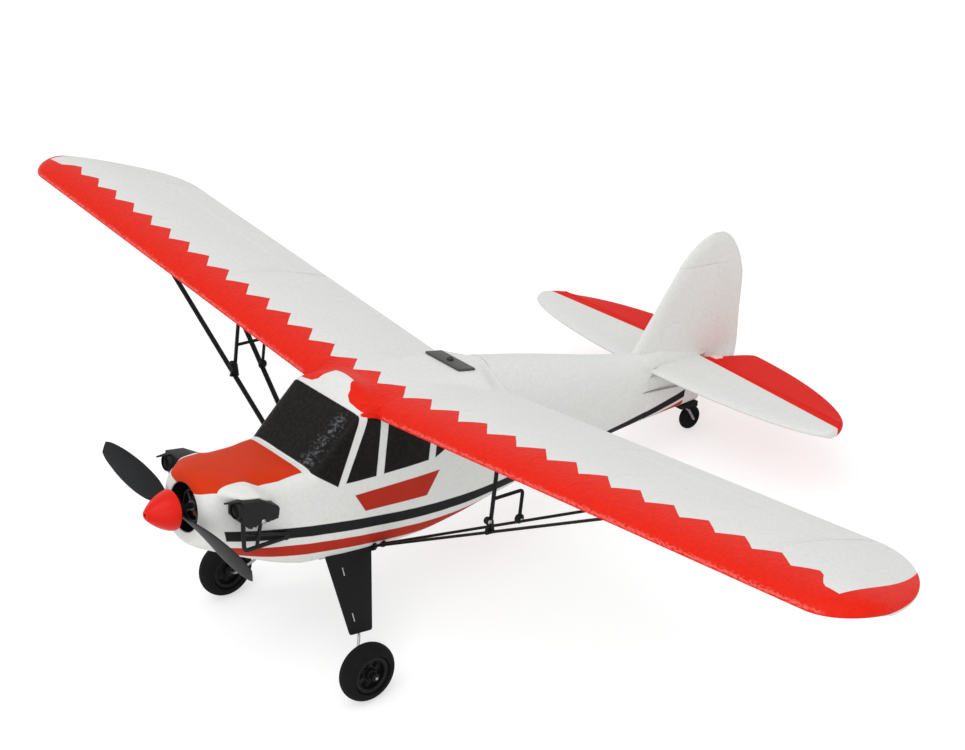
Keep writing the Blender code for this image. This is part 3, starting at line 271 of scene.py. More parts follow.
def squared(x, z, power):
    """How far a point of a unit circle moves out on a squarer ring."""
    return (abs(x) ** power + abs(z) ** power) ** (-1 / power)


def strip(points, across, width, thickness, sides=20):
    """A flat bar with rounded edges along a line, its width lying across."""
    points = [Vector(point) for point in points]
    run = (points[-1] - points[0]).normalized()
    across = (Vector(across) - run * run.dot(Vector(across))).normalized()
    flat = run.cross(across)
    rings = []
    for point in points:
        ring = []
        for k in range(sides):
            c, d = cos(tau * k / sides), sin(tau * k / sides)
            share = squared(c, d, STRIP_POWER)
            ring.append(point + across * (width / 2 * c * share) + flat * (thickness / 2 * d * share))
        rings.append(ring)
    return through(rings)


def soften(shape, width, segments=2, angle=40):
    """Round the edges that turn by more than an angle."""
    bmesh.ops.recalc_face_normals(shape, faces=shape.faces)
    edges = [edge for edge in shape.edges
             if len(edge.link_faces) == 2 and edge.calc_face_angle(0) > radians(angle)]
    bmesh.ops.bevel(shape, geom=edges, offset=width, segments=segments, profile=0.5, affect="EDGES", material=-1,
                    clamp_overlap=True)
    return shape


def block(low, high, bevel=0.0005):
    """A box between two corners, with softened edges."""
    low, high = Vector(low), Vector(high)
    shape = bmesh.new()
    bmesh.ops.create_cube(shape, size=1)
    bmesh.ops.scale(shape, vec=high - low, verts=shape.verts)
    bmesh.ops.translate(shape, vec=(low + high) / 2, verts=shape.verts)
    return soften(shape, bevel)


def plate(outline, thickness, across, middle=0.0, bevel=0.0004):
    """A flat plate from an outline of points, half its thickness to each side of its middle."""
    across = Vector(across).normalized()
    shape = bmesh.new()
    face = shape.faces.new([shape.verts.new(Vector(point) + across * (middle - thickness / 2)) for point in outline])
    grown = bmesh.ops.extrude_face_region(shape, geom=[face], use_keep_orig=True)
    moved = [part for part in grown["geom"] if isinstance(part, bmesh.types.BMVert)]
    bmesh.ops.translate(shape, vec=across * thickness, verts=moved)
    return soften(shape, bevel) if bevel else shape


def mesh_of(name, shape):
    """A form as a mesh, which uses the form up."""
    mesh = bpy.data.meshes.new(name)
    shape.to_mesh(mesh)
    shape.free()
    return mesh


def placed(name, data):
    """A new object in the scene."""
    item = bpy.data.objects.new(name, data)
    bpy.context.scene.collection.objects.link(item)
    return item


def together(first, *others):
    """Several forms as one piece."""
    for other in others:
        spare = mesh_of("spare", other)
        first.from_mesh(spare)
        bpy.data.meshes.remove(spare)
    return first


def carved(shape, cutter, operation="DIFFERENCE"):
    """A form with another one cut away, or joined to it."""
    pair = []
    for form in (shape, cutter):
        bmesh.ops.recalc_face_normals(form, faces=form.faces)
        pair.append(placed("form", mesh_of("form", form)))
    change = pair[0].modifiers.new("cut", "BOOLEAN")
    change.operation, change.solver, change.object = operation, "EXACT", pair[1]
    result = bmesh.new()
    result.from_object(pair[0], bpy.context.evaluated_depsgraph_get())
    for form in pair:
        mesh = form.data
        bpy.data.objects.remove(form)
        bpy.data.meshes.remove(mesh)
    return result


def on_side(shape, side):
    """A form of the left side, or the same form on the right."""
    if side < 0:
        bmesh.ops.scale(shape, vec=(-1, 1, 1), verts=shape.verts)
    return shape


def add(name, shape, finish, *nodes, body="airframe", slot=None, sharp=32):
    """One finished piece on its body, standing for the plain nodes."""
    slot = slot or SLOTS[finish]
    bmesh.ops.recalc_face_normals(shape, faces=shape.faces)
    bmesh.ops.transform(shape, matrix=STAND, verts=shape.verts)
    mesh = mesh_of(name, shape)
    mesh.shade_smooth()
    mesh.set_sharp_from_angle(angle=radians(sharp))
    mesh.materials.append(finish)
    piece = placed(name, mesh)
    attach(piece, body)
    if nodes:
        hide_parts(*nodes)


def arc(centre, radius, start, stop, steps):
    """Points of an arc in a plane, angles in degrees."""
    points = []
    for i in range(steps + 1):
        angle = radians(start + (stop - start) * i / steps)
        points.append((centre[0] + radius * cos(angle), centre[1] + radius * sin(angle)))
    return points


def button(radius, edge, half, centre, axis, sides=20):
    """A round eye or lug, widest in its middle."""
    return turned([(0, -half), (edge, -half), (radius, 0), (edge, half), (0, half)], centre, axis, sides)


def spread(start, stop, count):
    return [start + (stop - start) * i / (count - 1) for i in range(count)]


def ease(value, low, high):
    """0 below low, 1 above high, with a smooth rise between."""
    t = min(max((value - low) / (high - low), 0), 1)
    return t * t * (3 - 2 * t)


def blend_max(a, b, width):
    """The larger of two heights, with a fillet where they cross."""
    t = min(max(0.5 + (a - b) / (2 * width), 0), 1)
    return b + (a - b) * t + width * t * (1 - t)


def curve_through(rows, place):
    """Smooth values between rows whose first entry is the place."""
    for k in range(len(rows) - 1):
        if place <= rows[k + 1][0] or k == len(rows) - 2:
            break
    before, start, stop, after = rows[max(k - 1, 0)], rows[k], rows[k + 1], rows[min(k + 2, len(rows) - 1)]
    length = stop[0] - start[0]
    t = min(max((place - start[0]) / length, 0), 1)
    values = []
    for a, b, c, d in zip(before[1:], start[1:], stop[1:], after[1:]):
        rise_in = (c - a) / (stop[0] - before[0]) * length
        rise_out = (d - b) / (after[0] - start[0]) * length
        values.append((2 * t ** 3 - 3 * t ** 2 + 1) * b + (t ** 3 - 2 * t ** 2 + t) * rise_in
                      + (3 * t ** 2 - 2 * t ** 3) * c + (t ** 3 - t ** 2) * rise_out)
    return values


# Shader sums

def operator(name):
    """A Math node's operation as a method."""
    return lambda term, other: term.math(name, term, other)


def reflected(name):
    """The same with the term in second place."""
    return lambda term, other: term.math(name, other, term)


class Term:
    """A shader value that takes part in sums."""

    def __init__(self, tree, socket):
        self.tree, self.socket = tree, socket

    def math(self, operation, first, second=None, clamp=False):
        node = self.tree.nodes.new("ShaderNodeMath")
        node.operation, node.use_clamp = operation, clamp
        for entry, value in zip(node.inputs, (first, second)):
            feed(self.tree, entry, value)
        return Term(self.tree, node.outputs[0])

    __add__, __radd__ = operator("ADD"), reflected("ADD")
    __sub__, __rsub__ = operator("SUBTRACT"), reflected("SUBTRACT")
    __mul__, __rmul__ = operator("MULTIPLY"), reflected("MULTIPLY")
    __truediv__, __rtruediv__ = operator("DIVIDE"), reflected("DIVIDE")
    __pow__, __gt__ = operator("POWER"), operator("GREATER_THAN")
    least, most = operator("MINIMUM"), operator("MAXIMUM")

    def __neg__(self):
        return self * -1

    def __abs__(self):
        return self.math("ABSOLUTE", self)

    def fraction(self):
        return self.math("FRACT", self)

    def clear(self, soft):
        """1 where the value is above 0 and 0 below, over a soft edge."""
        return self.math("ADD", self / soft, 0.5, clamp=True)


def feed(tree, entry, value):
    """Set a socket to a number or link it to a term."""
    if isinstance(value, Term):
        tree.links.new(value.socket, entry)
    elif value is not None:
        entry.default_value = value


def colour(red, green, blue):
    """A colour written as 0 to 255 display values."""
    linear = []
    for part in (red, green, blue):
        share = part / 255
        linear.append(share / 12.92 if share <= 0.04045 else ((share + 0.055) / 1.055) ** 2.4)
    return (*linear, 1.0)


class Finish:
    """A material whose shader is fed by sums over aircraft axes in millimetres."""

    def __init__(self, name, **fixed):
        self.material = bpy.data.materials.new(name)
        self.material.use_nodes = True
        self.tree = self.material.node_tree
        self.shader = self.tree.nodes["Principled BSDF"]
        for socket, value in fixed.items():
            self.shader.inputs[socket.replace("_", " ")].default_value = value
        level = STAND.inverted()
        self.place = self.node("ShaderNodeMapping", inputs={
            "Vector": self.node("ShaderNodeTexCoord", output="Object"), "Location": level.to_translation() * 1000,
            "Rotation": level.to_euler(), "Scale": (1000, 1000, 1000)})
        split = self.node("ShaderNodeSeparateXYZ", inputs={"Vector": self.place}).socket.node
        self.x, self.y, self.z = (Term(self.tree, split.outputs[axis]) for axis in "XYZ")

    def node(self, kind, settings=None, inputs=None, output=0):
        """Any other node: its settings first, then the values or links of its sockets."""
        node = self.tree.nodes.new(kind)
        for setting, value in (settings or {}).items():
            setattr(node, setting, value)
        for socket, value in (inputs or {}).items():
            feed(self.tree, node.inputs[socket], value)
        return Term(self.tree, node.outputs[output])

    def mix(self, share, first, second):
        """A blend of two colours."""
        return self.node("ShaderNodeMix", {"data_type": "RGBA"}, {0: share, 6: first, 7: second}, 2)

    def noise(self, scale, detail=2.0, stretch=(1, 1, 1)):
        place = self.place
        if stretch != (1, 1, 1):
            place = self.node("ShaderNodeMapping", inputs={"Vector": self.place, "Scale": stretch})
        return self.node("ShaderNodeTexNoise", inputs={"Vector": place, "Scale": scale, "Detail": detail})

    def beads(self, size):
        """Domes of moulded foam beads, 1 on top and lower between them."""
        cells = self.node("ShaderNodeTexVoronoi", {"feature": "SMOOTH_F1"},
                          {"Vector": self.place, "Scale": 1 / size, "Smoothness": 0.35})
        return 1 - cells

    def bump(self, height, depth):
        """Surface relief, with its depth in millimetres."""
        return self.node("ShaderNodeBump", inputs={"Height": height, "Distance": depth / 1000, "Strength": 1.0})

    def two_toned(self, share, dark, pale, rough, fine, relief):
        """Two display colours, and a gloss and relief that follow a fine grain; rough is its base and its rise."""
        return self.wear(Base_Color=self.mix(share, colour(*dark), colour(*pale)),
                         Roughness=rough[0] + fine * rough[1], Normal=self.bump(fine, relief))

    def wear(self, **sockets):
        """Feed the shader's varying sockets."""
        for socket, value in sockets.items():
            feed(self.tree, self.shader.inputs[socket.replace("_", " ")], value)
        return self.material


def beside(u, v, first, second):
    """Distance to the left of a line through two points, in a plane of two terms."""
    (u0, v0), (u1, v1) = first, second
    length = hypot(u1 - u0, v1 - v0)
    across, along = (u1 - u0) / length, (v1 - v0) / length
    return v * across - u * along + (u0 * along - v0 * across)


def within(u, v, corners):
    """Distance inside a convex outline whose corners run anticlockwise."""
    inside = None
    for pair in zip(corners, corners[1:] + corners[:1]):
        edge = beside(u, v, *pair)
        inside = edge if inside is None else inside.least(edge)
    return inside


FOAM_WHITE = colour(228, 229, 226)
FOAM_SHADE = colour(219, 220, 217)
WING_RED = colour(232, 33, 2)
WING_RED_DEEP = colour(214, 23, 0)
TAIL_RED = colour(224, 22, 0)
TAIL_RED_DEEP = colour(214, 16, 0)
STICKER_RED = colour(207, 55, 16)
STICKER_RED_DEEP = colour(197, 47, 10)
# pale pink of the painted highlight flecks on the leading edge
LEADING_EDGE_HIGHLIGHT = colour(243, 158, 150)
STRIPE_RED = colour(182, 50, 34)
STRIPE_RED_DEEP = colour(170, 42, 28)
FILM_BLACK = colour(13, 13, 13)
FILM_BROWN = colour(27, 23, 19)
# paler film on the tops of its pebbles: painted sheen
FILM_PEBBLE_SHEEN = colour(38, 37, 36)
# pale grey of the painted highlight streaks on the windscreen film
FILM_HIGHLIGHT = colour(92, 95, 100)
BORE_PAINTED_SHADE = colour(17, 16, 15)
STRIPE_CHARCOAL = colour(31, 32, 32)
EDGE_SOFT = 0.5          # width of a painted edge, in millimetres
BEAD_SIZE = 3.4          # of the moulded foam


def foam_base(finish):
    """Bead relief and colour of bare moulded foam, darker in the hollows between beads as painted shade and in broad
    patches of random tone.
    """
    grain = finish.noise(0.9, 3)
    beads = finish.beads(BEAD_SIZE)
    patches = finish.noise(0.02, 2)
    # Paler on bead tops and darker between them: painted shade of the bead relief; the broad patches are random tone.
    white = finish.mix((beads * 0.9 + patches * 0.6 - 0.45).least(1.0), FOAM_SHADE, FOAM_WHITE)
    return white, beads, grain


def bare_foam():
    finish = Finish("bare_foam", Specular_IOR_Level=0.2)
    white, beads, grain = foam_base(finish)
    return finish.wear(Base_Color=white, Roughness=0.62 + grain * 0.16,
                       Normal=finish.bump(beads + grain * 0.35, 0.16))


BAND_PEAK = 41.5         # how far aft the teeth reach, in millimetres
BAND_VALLEY = 24.2
BAND_TAPER = 0.0145      # loss of reach for each millimetre of span
BAND_START = -3.3        # place of the tooth over the cabin
TOOTH_LEFT = 35.7
TOOTH_RIGHT = 32.8
LAST_TOOTH = 514
LAST_DROP = 4.5          # how far the band falls behind its last tooth
LAST_DROP_AT = 506
TIP_BAND = 517           # where the tip's red strip starts
TIP_RIGHT = 6            # how much narrower it is on the right
TIP_BULGE = 13
TIP_BULGE_Y = (50, 60)   # its middle and half length
WHITE_FRONT_HALF = 44.0  # most that the brow's white front may span
WHITE_FRONT_REAR = 1.2
ROOF_FLANKS = (          # height, slope and half width of the white front's edges
    (23.4, 1.38, 12.7), (18.9, 0.54, 18.9), (15.2, 1.7, 20.9), (11.9, 5.5, 26.5))
PAINT_LINE_Z = 3.0       # height of the paint's lower edge along the nose
PAINT_LINE_SLOPE = 0.0205
LE_HIGHLIGHT_FROM = 54          # where the leading edge's painted highlight flecks start
LE_HIGHLIGHT_Z = (2.6, 3.4)    # middle of the strip of painted highlight above that edge, and half its height


def roof_flank(z):
    """Half width of the brow's white front, at a height in millimetres."""
    crest, shoulder, waist, foot = ((height - z) * slope + half for height, slope, half in ROOF_FLANKS)
    return crest.least(shoulder).most(waist).most(foot)


def wing_paint():
    finish = Finish("painted_wing_foam", Specular_IOR_Level=0.15)
    white, beads, grain = foam_base(finish)
    x, y, z = finish.x, finish.y, finish.z
    across = abs(x)
    wobble = (finish.noise(0.08, 2) - 0.5) * 1.6
    left = x > BAND_START
    turn = (x - BAND_START) / (left * (TOOTH_LEFT - TOOTH_RIGHT) + TOOTH_RIGHT)
    tooth = abs(turn.fraction() * 2 - 1) * (LAST_TOOTH - across).clear(EDGE_SOFT)
    reach = (BAND_PEAK - BAND_VALLEY - across * BAND_TAPER) * tooth + BAND_VALLEY
    reach = reach - (across - LAST_DROP_AT).clear(8) * LAST_DROP
    band = (reach + wobble - y).clear(EDGE_SOFT)
    bulge_middle, bulge_half = TIP_BULGE_Y
    bulge = TIP_BULGE * (1 - ((y - bulge_middle) / bulge_half) ** 2.0)
    tip_edge = TIP_BAND + TIP_RIGHT * (1 - left) + bulge
    tip = (across - tip_edge).clear(EDGE_SOFT)
    rise = (across - CENTRE_HALF * 1000).most(0.0) * tan(DIHEDRAL)
    middle = rise + (PAINT_LINE_Z - y * PAINT_LINE_SLOPE)
    upper = (z - middle).clear(EDGE_SOFT)
    roof = (roof_flank(z).least(WHITE_FRONT_HALF) - across).least(WHITE_FRONT_REAR - y).clear(EDGE_SOFT)
    red = band.most(tip) * upper * (1 - roof)
    # Red is paler on bead tops and deeper in the hollows between them as painted shade of the pebbled relief; the
    # noise is random tone.
    shade = finish.mix(finish.noise(0.12, 3) * 0.6 + beads * 0.6 - 0.1, WING_RED_DEEP, WING_RED)
    # Pale flecks on the red just above the nose's lower edge: painted highlight of the glossy, pebbled leading edge;
    # thin holds these painted highlight flecks.
    highlight_strip = (1 - abs(z - middle - LE_HIGHLIGHT_Z[0]) / LE_HIGHLIGHT_Z[1]).most(0.0)
    highlight_strip = highlight_strip * (5 - y).clear(6) * (across - LE_HIGHLIGHT_FROM).clear(8)
    thin = (finish.noise(0.75, 3, (0.4, 1.0, 1.0)) + highlight_strip * 0.26 - 0.68).clear(0.16) * highlight_strip
    shade = finish.mix(thin * 0.34, shade, LEADING_EDGE_HIGHLIGHT)
    ripple = finish.noise(0.5, 3, (0.35, 1.0, 1.0))
    relief = beads + grain * 0.35 + red * (ripple * 1.2 + 0.25)
    return finish.wear(Base_Color=finish.mix(red, white, shade), Roughness=0.66 + grain * 0.12 - red * 0.22,
                       Normal=finish.bump(relief, 0.25))


TAIL_RED_Y = 421         # where the tail's red starts, on the centre line
TAIL_RED_SWEEP = 0.0725


def tail_paint():
    finish = Finish("painted_tail_foam", Specular_IOR_Level=0.05)
    white, beads, grain = foam_base(finish)
    line = TAIL_RED_Y - abs(finish.x) * TAIL_RED_SWEEP
    red = (finish.y - line).clear(EDGE_SOFT)
    shade = finish.mix(finish.noise(0.1, 3), TAIL_RED_DEEP, TAIL_RED)
    return finish.wear(Base_Color=finish.mix(red, white, shade), Roughness=0.62 + grain * 0.16 - red * 0.18,
                       Normal=finish.bump(beads + grain * 0.35, 0.15))


STRIPE_LOW_Y = 100       # where the side stripes lie lowest
STRIPE_LOW_Z = -90.3
STRIPE_BEND = 2.65e-4
STRIPE_BEND_AFT = 1.4e-4     # more of it behind the lowest point
STRIPE_END_Y = 404
DARK_STRIPE = (0.8, 8.6)     # its reach above and below the line
RED_STRIPE = (15.2, 25.0)    # its top and foot below the line
DARK_FRONT = ((-135.6, -73.2), (-132.1, -83.3))      # slanting ends, as y and z
RED_FRONT = ((-128.4, -91.8), (-117.8, -101.8))
DOOR = [(-13.5, -63.7), (-0.9, -80.4), (64.6, -79.5), (76.6, -58.0)]
WINDSCREEN = [(-56.8, -37.6), (-31.7, -52.8), (-9.0, 30), (-56.8, 30)]
WINDSCREEN_END_Y = -15.7
SIDE_WINDOWS = ([(-24.1, -51.2), (7.0, -50.2), (6.2, 30), (0.7, 30)],
                [(14.6, -49.6), (62.3, -46.3), (62.3, 30), (14.6, 30)],
                [(69.5, -45.6), (99, -30), (106, 30), (69.5, 30)])
SIDE_INNER = 30          # the sides' film stays this far from the centre line
HOOD_HALF = 37.4
HOOD_NOTCH = 5.2         # how much the engines' seats take from it
HOOD_NOTCH_Y = (-103, 20)    # where they start and how long their curve is
HOOD_REAR_Y = -63.2
HOOD_FRONT_Y = -142.5
HOOD_LOW_Z = -53.5       # its side edge, on the centre line
HOOD_LOW_SLOPE = 0.34
ROOF_LINE_Z = 3.2        # upper edge of the windows
ROOF_LINE_SLOPE = 0.437
BROW_INNER = 40          # the brow's red above the side windows
BROW_FRONT_Y = -12
FOLD_X = 31              # middle of the windscreen's crumpled fold


def fuselage_paint():
    """Foam with film windows, hood, door and two side stripes."""
    finish = Finish("dressed_fuselage_foam", Specular_IOR_Level=0.08)
    white, beads, grain = foam_base(finish)
    x, y, z = finish.x, finish.y, finish.z
    across = abs(x)
    wobble = (finish.noise(0.06, 2) - 0.5) * 0.9

    from_low = y - STRIPE_LOW_Y
    rear = from_low > 0.0
    stripe_top = from_low * from_low * (rear * STRIPE_BEND_AFT + STRIPE_BEND) + STRIPE_LOW_Z
    below = stripe_top + wobble * 0.6 - z
    tail_taper = (from_low / 300).most(0.0)
    sides = beside(y, z, *DARK_FRONT).least(STRIPE_END_Y - y)
    dark = (below + DARK_STRIPE[0]).least(DARK_STRIPE[1] - tail_taper * 1.6 - below).least(sides)
    red_top = RED_STRIPE[0] - tail_taper * 5
    red_stripe = (below - red_top).least(RED_STRIPE[1] - tail_taper * 9 - below).least(
        beside(y, z, *RED_FRONT)).least(STRIPE_END_Y - y)
    door = within(y, z, DOOR)
    beyond_centre = across - SIDE_INNER
    door = door.least(beyond_centre)

    glass = within(y, z, WINDSCREEN).least(WINDSCREEN_END_Y - y)
    for corners in SIDE_WINDOWS:
        glass = glass.most(within(y, z, corners).least(beyond_centre))
    roof_line = ROOF_LINE_Z - y.least(0.0) * ROOF_LINE_SLOPE
    glass = glass.least(roof_line - 1 - z)

    brow = (across - BROW_INNER).least(z - roof_line + 2).least(y - BROW_FRONT_Y)
    notch_y, notch_length = HOOD_NOTCH_Y
    notch = ((notch_y - y) / notch_length).most(0.0).least(1.0)
    notch = notch * notch * (3 - 2 * notch) * (y - HOOD_FRONT_Y).clear(2)
    hood_half = HOOD_HALF - notch * HOOD_NOTCH
    hood = (hood_half - across).least(HOOD_REAR_Y - y).least(z - HOOD_LOW_Z - across * HOOD_LOW_SLOPE)
    from_axis = (x * x + (z - THRUST_Z * 1000) ** 2) ** 0.5
    bore = (NOSE_BORE * 1000 + 0.8 - from_axis).least(BORE_END_Y * 1000 + 1 - y)

    film = (glass + wobble * 0.5).clear(EDGE_SOFT)
    hooded = (hood + wobble).clear(EDGE_SOFT)
    browed = brow.clear(EDGE_SOFT)
    sticker = (red_stripe.most(door) + wobble * 0.3).clear(EDGE_SOFT)
    charcoal = dark.clear(EDGE_SOFT)

    creases = film_creases(finish)
    black = finish.mix(finish.noise(0.03, 3), FILM_BLACK, FILM_BROWN)
    base = finish.mix(browed, white, finish.mix(finish.noise(0.12, 3), WING_RED_DEEP, WING_RED))
    # Bright streaks along the windscreen's crumpled fold: painted highlight of the glossy film; the same mask also
    # raises the fold's relief.
    crumple = finish.noise(0.42, 4, (0.6, 1.2, 1.0))
    fold = (1 - abs(x - FOLD_X) / 14).most(0.0) * (-20 - y).clear(6)
    fold_highlight = (crumple + fold * 0.12 - 0.66).clear(0.16) * fold
    # The film is paler on its pebble tops as painted sheen, with the fold's painted highlight streaks over it.
    black = finish.mix(fold_highlight, finish.mix(beads * 0.9 - 0.35, black, FILM_PEBBLE_SHEEN), FILM_HIGHLIGHT)
    base = finish.mix(film, base, black)
    base = finish.mix(charcoal, base, STRIPE_CHARCOAL)
    base = finish.mix(hooded, base, finish.mix(finish.noise(0.05, 3), STICKER_RED_DEEP, STICKER_RED))
    base = finish.mix(sticker, base, finish.mix(finish.noise(0.06, 3), STRIPE_RED_DEEP, STRIPE_RED))
    # Inside the nose bore the foam wall is painted near black: painted shade of the recess.
    base = finish.mix(bore.clear(0.8), base, BORE_PAINTED_SHADE)
    covered = film.most(hooded).most(sticker).most(charcoal)
    rough = 0.64 + grain * 0.14 - film * 0.36 - hooded * 0.22 - sticker * 0.2 - charcoal * 0.16
    relief = (beads + grain * 0.35) * (1 - film * 0.2) + film * (creases * 3.4 + fold_highlight * 1.6) + covered * 0.5
    return finish.wear(Base_Color=base, Roughness=rough, Normal=finish.bump(relief, 0.16))


def film_creases(finish):
    """Fine wrinkles of film pulled over a bent sheet."""
    warp = finish.noise(0.05, 2)
    fine = finish.noise(0.24, 4, (1.0, 0.55, 0.55))
    return (fine - 0.5) * (warp * 2.2 - 0.3).most(0.0) + 0.5


def moulded_plastic(name, tone, roughness=0.42, grain_size=0.9, relief=0.03, coat=0.0, gloss=0.16):
    """Moulded plastic with fine grain, uneven gloss and slightly paler worn places."""
    finish = Finish(name, Specular_IOR_Level=gloss, Coat_Weight=coat, Coat_Roughness=0.15)
    fine = finish.noise(grain_size, 4)
    cloud = finish.noise(0.05, 3)
    worn = colour(*(min(255, part + 12) for part in tone))
    return finish.wear(Base_Color=finish.mix(cloud * fine, colour(*tone), worn),
                       Roughness=roughness + fine * 0.16 - 0.05, Normal=finish.bump(fine, relief))


def drawn_steel(name, tone=(196, 197, 200), roughness=0.28):
    """Bare wire with drawing marks."""
    finish = Finish(name, Metallic=1.0)
    streaks = finish.noise(0.6, 3, (1.0, 0.2, 1.0))
    dull = [part * 0.72 for part in tone]
    return finish.two_toned(streaks, dull, tone, (roughness, 0.2), streaks, 0.02)


def tyre_rubber():
    finish = Finish("foam_tyre_rubber", Specular_IOR_Level=0.12)
    dust, pores = finish.noise(0.08, 2), finish.noise(1.6, 4)
    return finish.two_toned(dust, (14, 14, 15), (24, 24, 26), (0.72, 0.2), pores, 0.07)


def spinner_gloss():
    finish = Finish("spinner_red_gloss", Specular_IOR_Level=0.14, Coat_Weight=0.06, Coat_Roughness=0.1)
    cloud, fine = finish.noise(0.06, 3), finish.noise(1.2, 3)
    return finish.two_toned(cloud, (211, 20, 4), (222, 28, 10), (0.26, 0.12), fine, 0.015)


def wound_copper():
    finish = Finish("copper_windings", Metallic=0.85)
    turns = finish.node("ShaderNodeTexWave", {"wave_type": "BANDS", "bands_direction": "Y"},
                        {"Vector": finish.place, "Scale": 0.55, "Distortion": 1.5})
    return finish.two_toned(turns, (120, 62, 24), (206, 128, 66), (0.3, 0.2), turns, 0.15)


def laid_plywood():
    finish = Finish("plywood", Specular_IOR_Level=0.3)
    grain = finish.noise(0.25, 4, (0.15, 1.0, 2.0))
    return finish.two_toned(grain, (168, 124, 78), (206, 168, 116), (0.55, 0.2), grain, 0.06)


def board_laminate():
    finish = Finish("circuit_board", Specular_IOR_Level=0.5)
    tracks = finish.node("ShaderNodeTexVoronoi", {"feature": "DISTANCE_TO_EDGE"},
                         {"Vector": finish.place, "Scale": 0.3})
    lines = (0.08 - tracks).clear(0.04)
    return finish.two_toned(lines, (16, 74, 36), (52, 120, 66), (0.35, 0.2), lines, 0.05)


FOAM = bare_foam()
WING_PAINT = wing_paint()
TAIL_PAINT = tail_paint()
FUSELAGE_PAINT = fuselage_paint()
BLACK_PLASTIC = moulded_plastic("black_plastic", (22, 22, 23), 0.48, gloss=0.2)
MATT_BLACK = moulded_plastic("matt_black_plastic", (17, 17, 18), 0.6, 1.4, 0.05)
STRUT_PLASTIC = moulded_plastic("strut_plastic", (11, 11, 12), 0.42)
HUB_PLASTIC = moulded_plastic("hub_plastic", (15, 15, 16), 0.4)
# The hold-down plate is black plastic; its grey is painted sheen of the sky at a grazing angle.
PLATE_SHEEN_PLASTIC = moulded_plastic("hold_down_plastic_painted_sheen", (62, 62, 61), 0.45, gloss=0.4)
PROP_PLASTIC = moulded_plastic("propeller_plastic", (14, 16, 19), 0.4, 0.6, 0.02, gloss=0.15)
WHITE_PLASTIC = moulded_plastic("white_plastic", (226, 224, 218), 0.4, gloss=0.45)
PINK_PLASTIC = moulded_plastic("horn_back_plastic", (236, 200, 194), 0.35, gloss=0.45)
SERVO_BLUE = moulded_plastic("servo_case", (30, 52, 120), 0.3, gloss=0.45)
BATTERY_WRAP = moulded_plastic("battery_wrap", (34, 60, 128), 0.25, 0.3, 0.05, gloss=0.45)
MOTOR_BLACK = moulded_plastic("motor_can", (26, 26, 29), 0.3, gloss=0.4)
STEEL = drawn_steel("steel_wire")
SCREW_STEEL = drawn_steel("screw_steel", (206, 206, 204), 0.22)
DARK_STEEL = drawn_steel("dark_screw_steel", (70, 70, 74), 0.35)
RUBBER = tyre_rubber()
SPINNER_RED = spinner_gloss()
COPPER = wound_copper()
PLYWOOD = laid_plywood()
LAMINATE = board_laminate()
SLOTS = {finish: slot for slot, finishes in (
    ("foam", (FOAM, WING_PAINT, TAIL_PAINT, FUSELAGE_PAINT)), ("copper_windings", (COPPER,)),
    ("black_plastic", (BLACK_PLASTIC, MATT_BLACK, STRUT_PLASTIC, HUB_PLASTIC, PLATE_SHEEN_PLASTIC)),
    ("prop_plastic", (PROP_PLASTIC,)), ("white_plastic", (PINK_PLASTIC,)), ("red_plastic", (SPINNER_RED,)),
    ("motor_metal", (MOTOR_BLACK,)), ("steel_wire", (STEEL, SCREW_STEEL, DARK_STEEL)), ("tyre_rubber", (RUBBER,)),
) for finish in finishes}


# Wing

def foil_half(share):
    """Half thickness of a classic aerofoil, as a share of its full thickness."""
    return 5 * (0.2969 * sqrt(share) - 0.126 * share - 0.3516 * share ** 2 + 0.2843 * share ** 3
                - 0.1036 * share ** 4)


def wing_top(share, thickness=WING_THICKNESS):
    return 1.7 * foil_half(share) * thickness + LEADING_EDGE_RISE * (1 - share) + TRAILING_EDGE * share


def wing_bottom(share, thickness=WING_THICKNESS):
    return -0.3 * foil_half(share) * thickness + LEADING_EDGE_RISE * (1 - share)


def panel_length():
    return (SPAN / 2 - CENTRE_HALF) / cos(DIHEDRAL)


def span_point(side, reach, y, z):
    """A point of the wing: reach runs out from the centre line and up the dihedral."""
    along = max(reach - CENTRE_HALF, 0)
    x = min(reach, CENTRE_HALF) + along * cos(DIHEDRAL) - (z * sin(DIHEDRAL) if along else 0)
    rise = along * sin(DIHEDRAL) + z * (cos(DIHEDRAL) if along else 1)
    return Vector((side * x, y, rise))


def tip_edges(reach):
    """Leading and trailing edge, with the rounded tip."""
    front, rear = 0.0, CHORD
    left = panel_length() + CENTRE_HALF - reach
    into_front = 1 - left / TIP_FRONT_DEPTH
    into_rear = 1 - left / TIP_REAR_DEPTH
    if into_front > 0:
        front = TIP_WIDEST_Y * (1 - sqrt(max(1 - into_front ** 2, 0)))
    if into_rear > 0:
        rear = TIP_WIDEST_Y + (CHORD - TIP_WIDEST_Y) * max(1 - into_rear ** TIP_ROUND, 0) ** (1 / TIP_ROUND)
    return front, rear


def deck_z(reach, y):
    """Height of the fairing on the wing's rear centre, which narrows to the fuselage's back."""
    aft = ease(y, PLATE_FRONT_Y + PLATE[1], CHORD)
    flat, edge = DECK_FLAT * (1 - aft), DECK_EDGE + (DECK_SPINE - DECK_EDGE) * aft
    return DECK_HEIGHT * (1 - ease(reach, flat, edge)) - 0.004 * ease(reach, edge, edge + 0.004)


def brow_z(x, y, top):
    """Height of the rounded brow above the windscreen, which runs back into the wing's top."""
    dome = cos(pi / 2 * min(abs(x) / BROW_HALF, 1)) ** BROW_ROUND
    crest = LEADING_EDGE_RISE + (BROW_TOP - LEADING_EDGE_RISE) * dome
    if y < 0:
        foot = ROOF_Z - 0.0015
        rise = max((y - WINDSCREEN_HEAD_Y) / -WINDSCREEN_HEAD_Y, 0)
        return foot + (max(crest, foot) - foot) * sin(pi / 2 * rise)
    return top + blend_max(crest - top, 0, 0.002) * (1 - ease(y, 0, BROW_BACK))


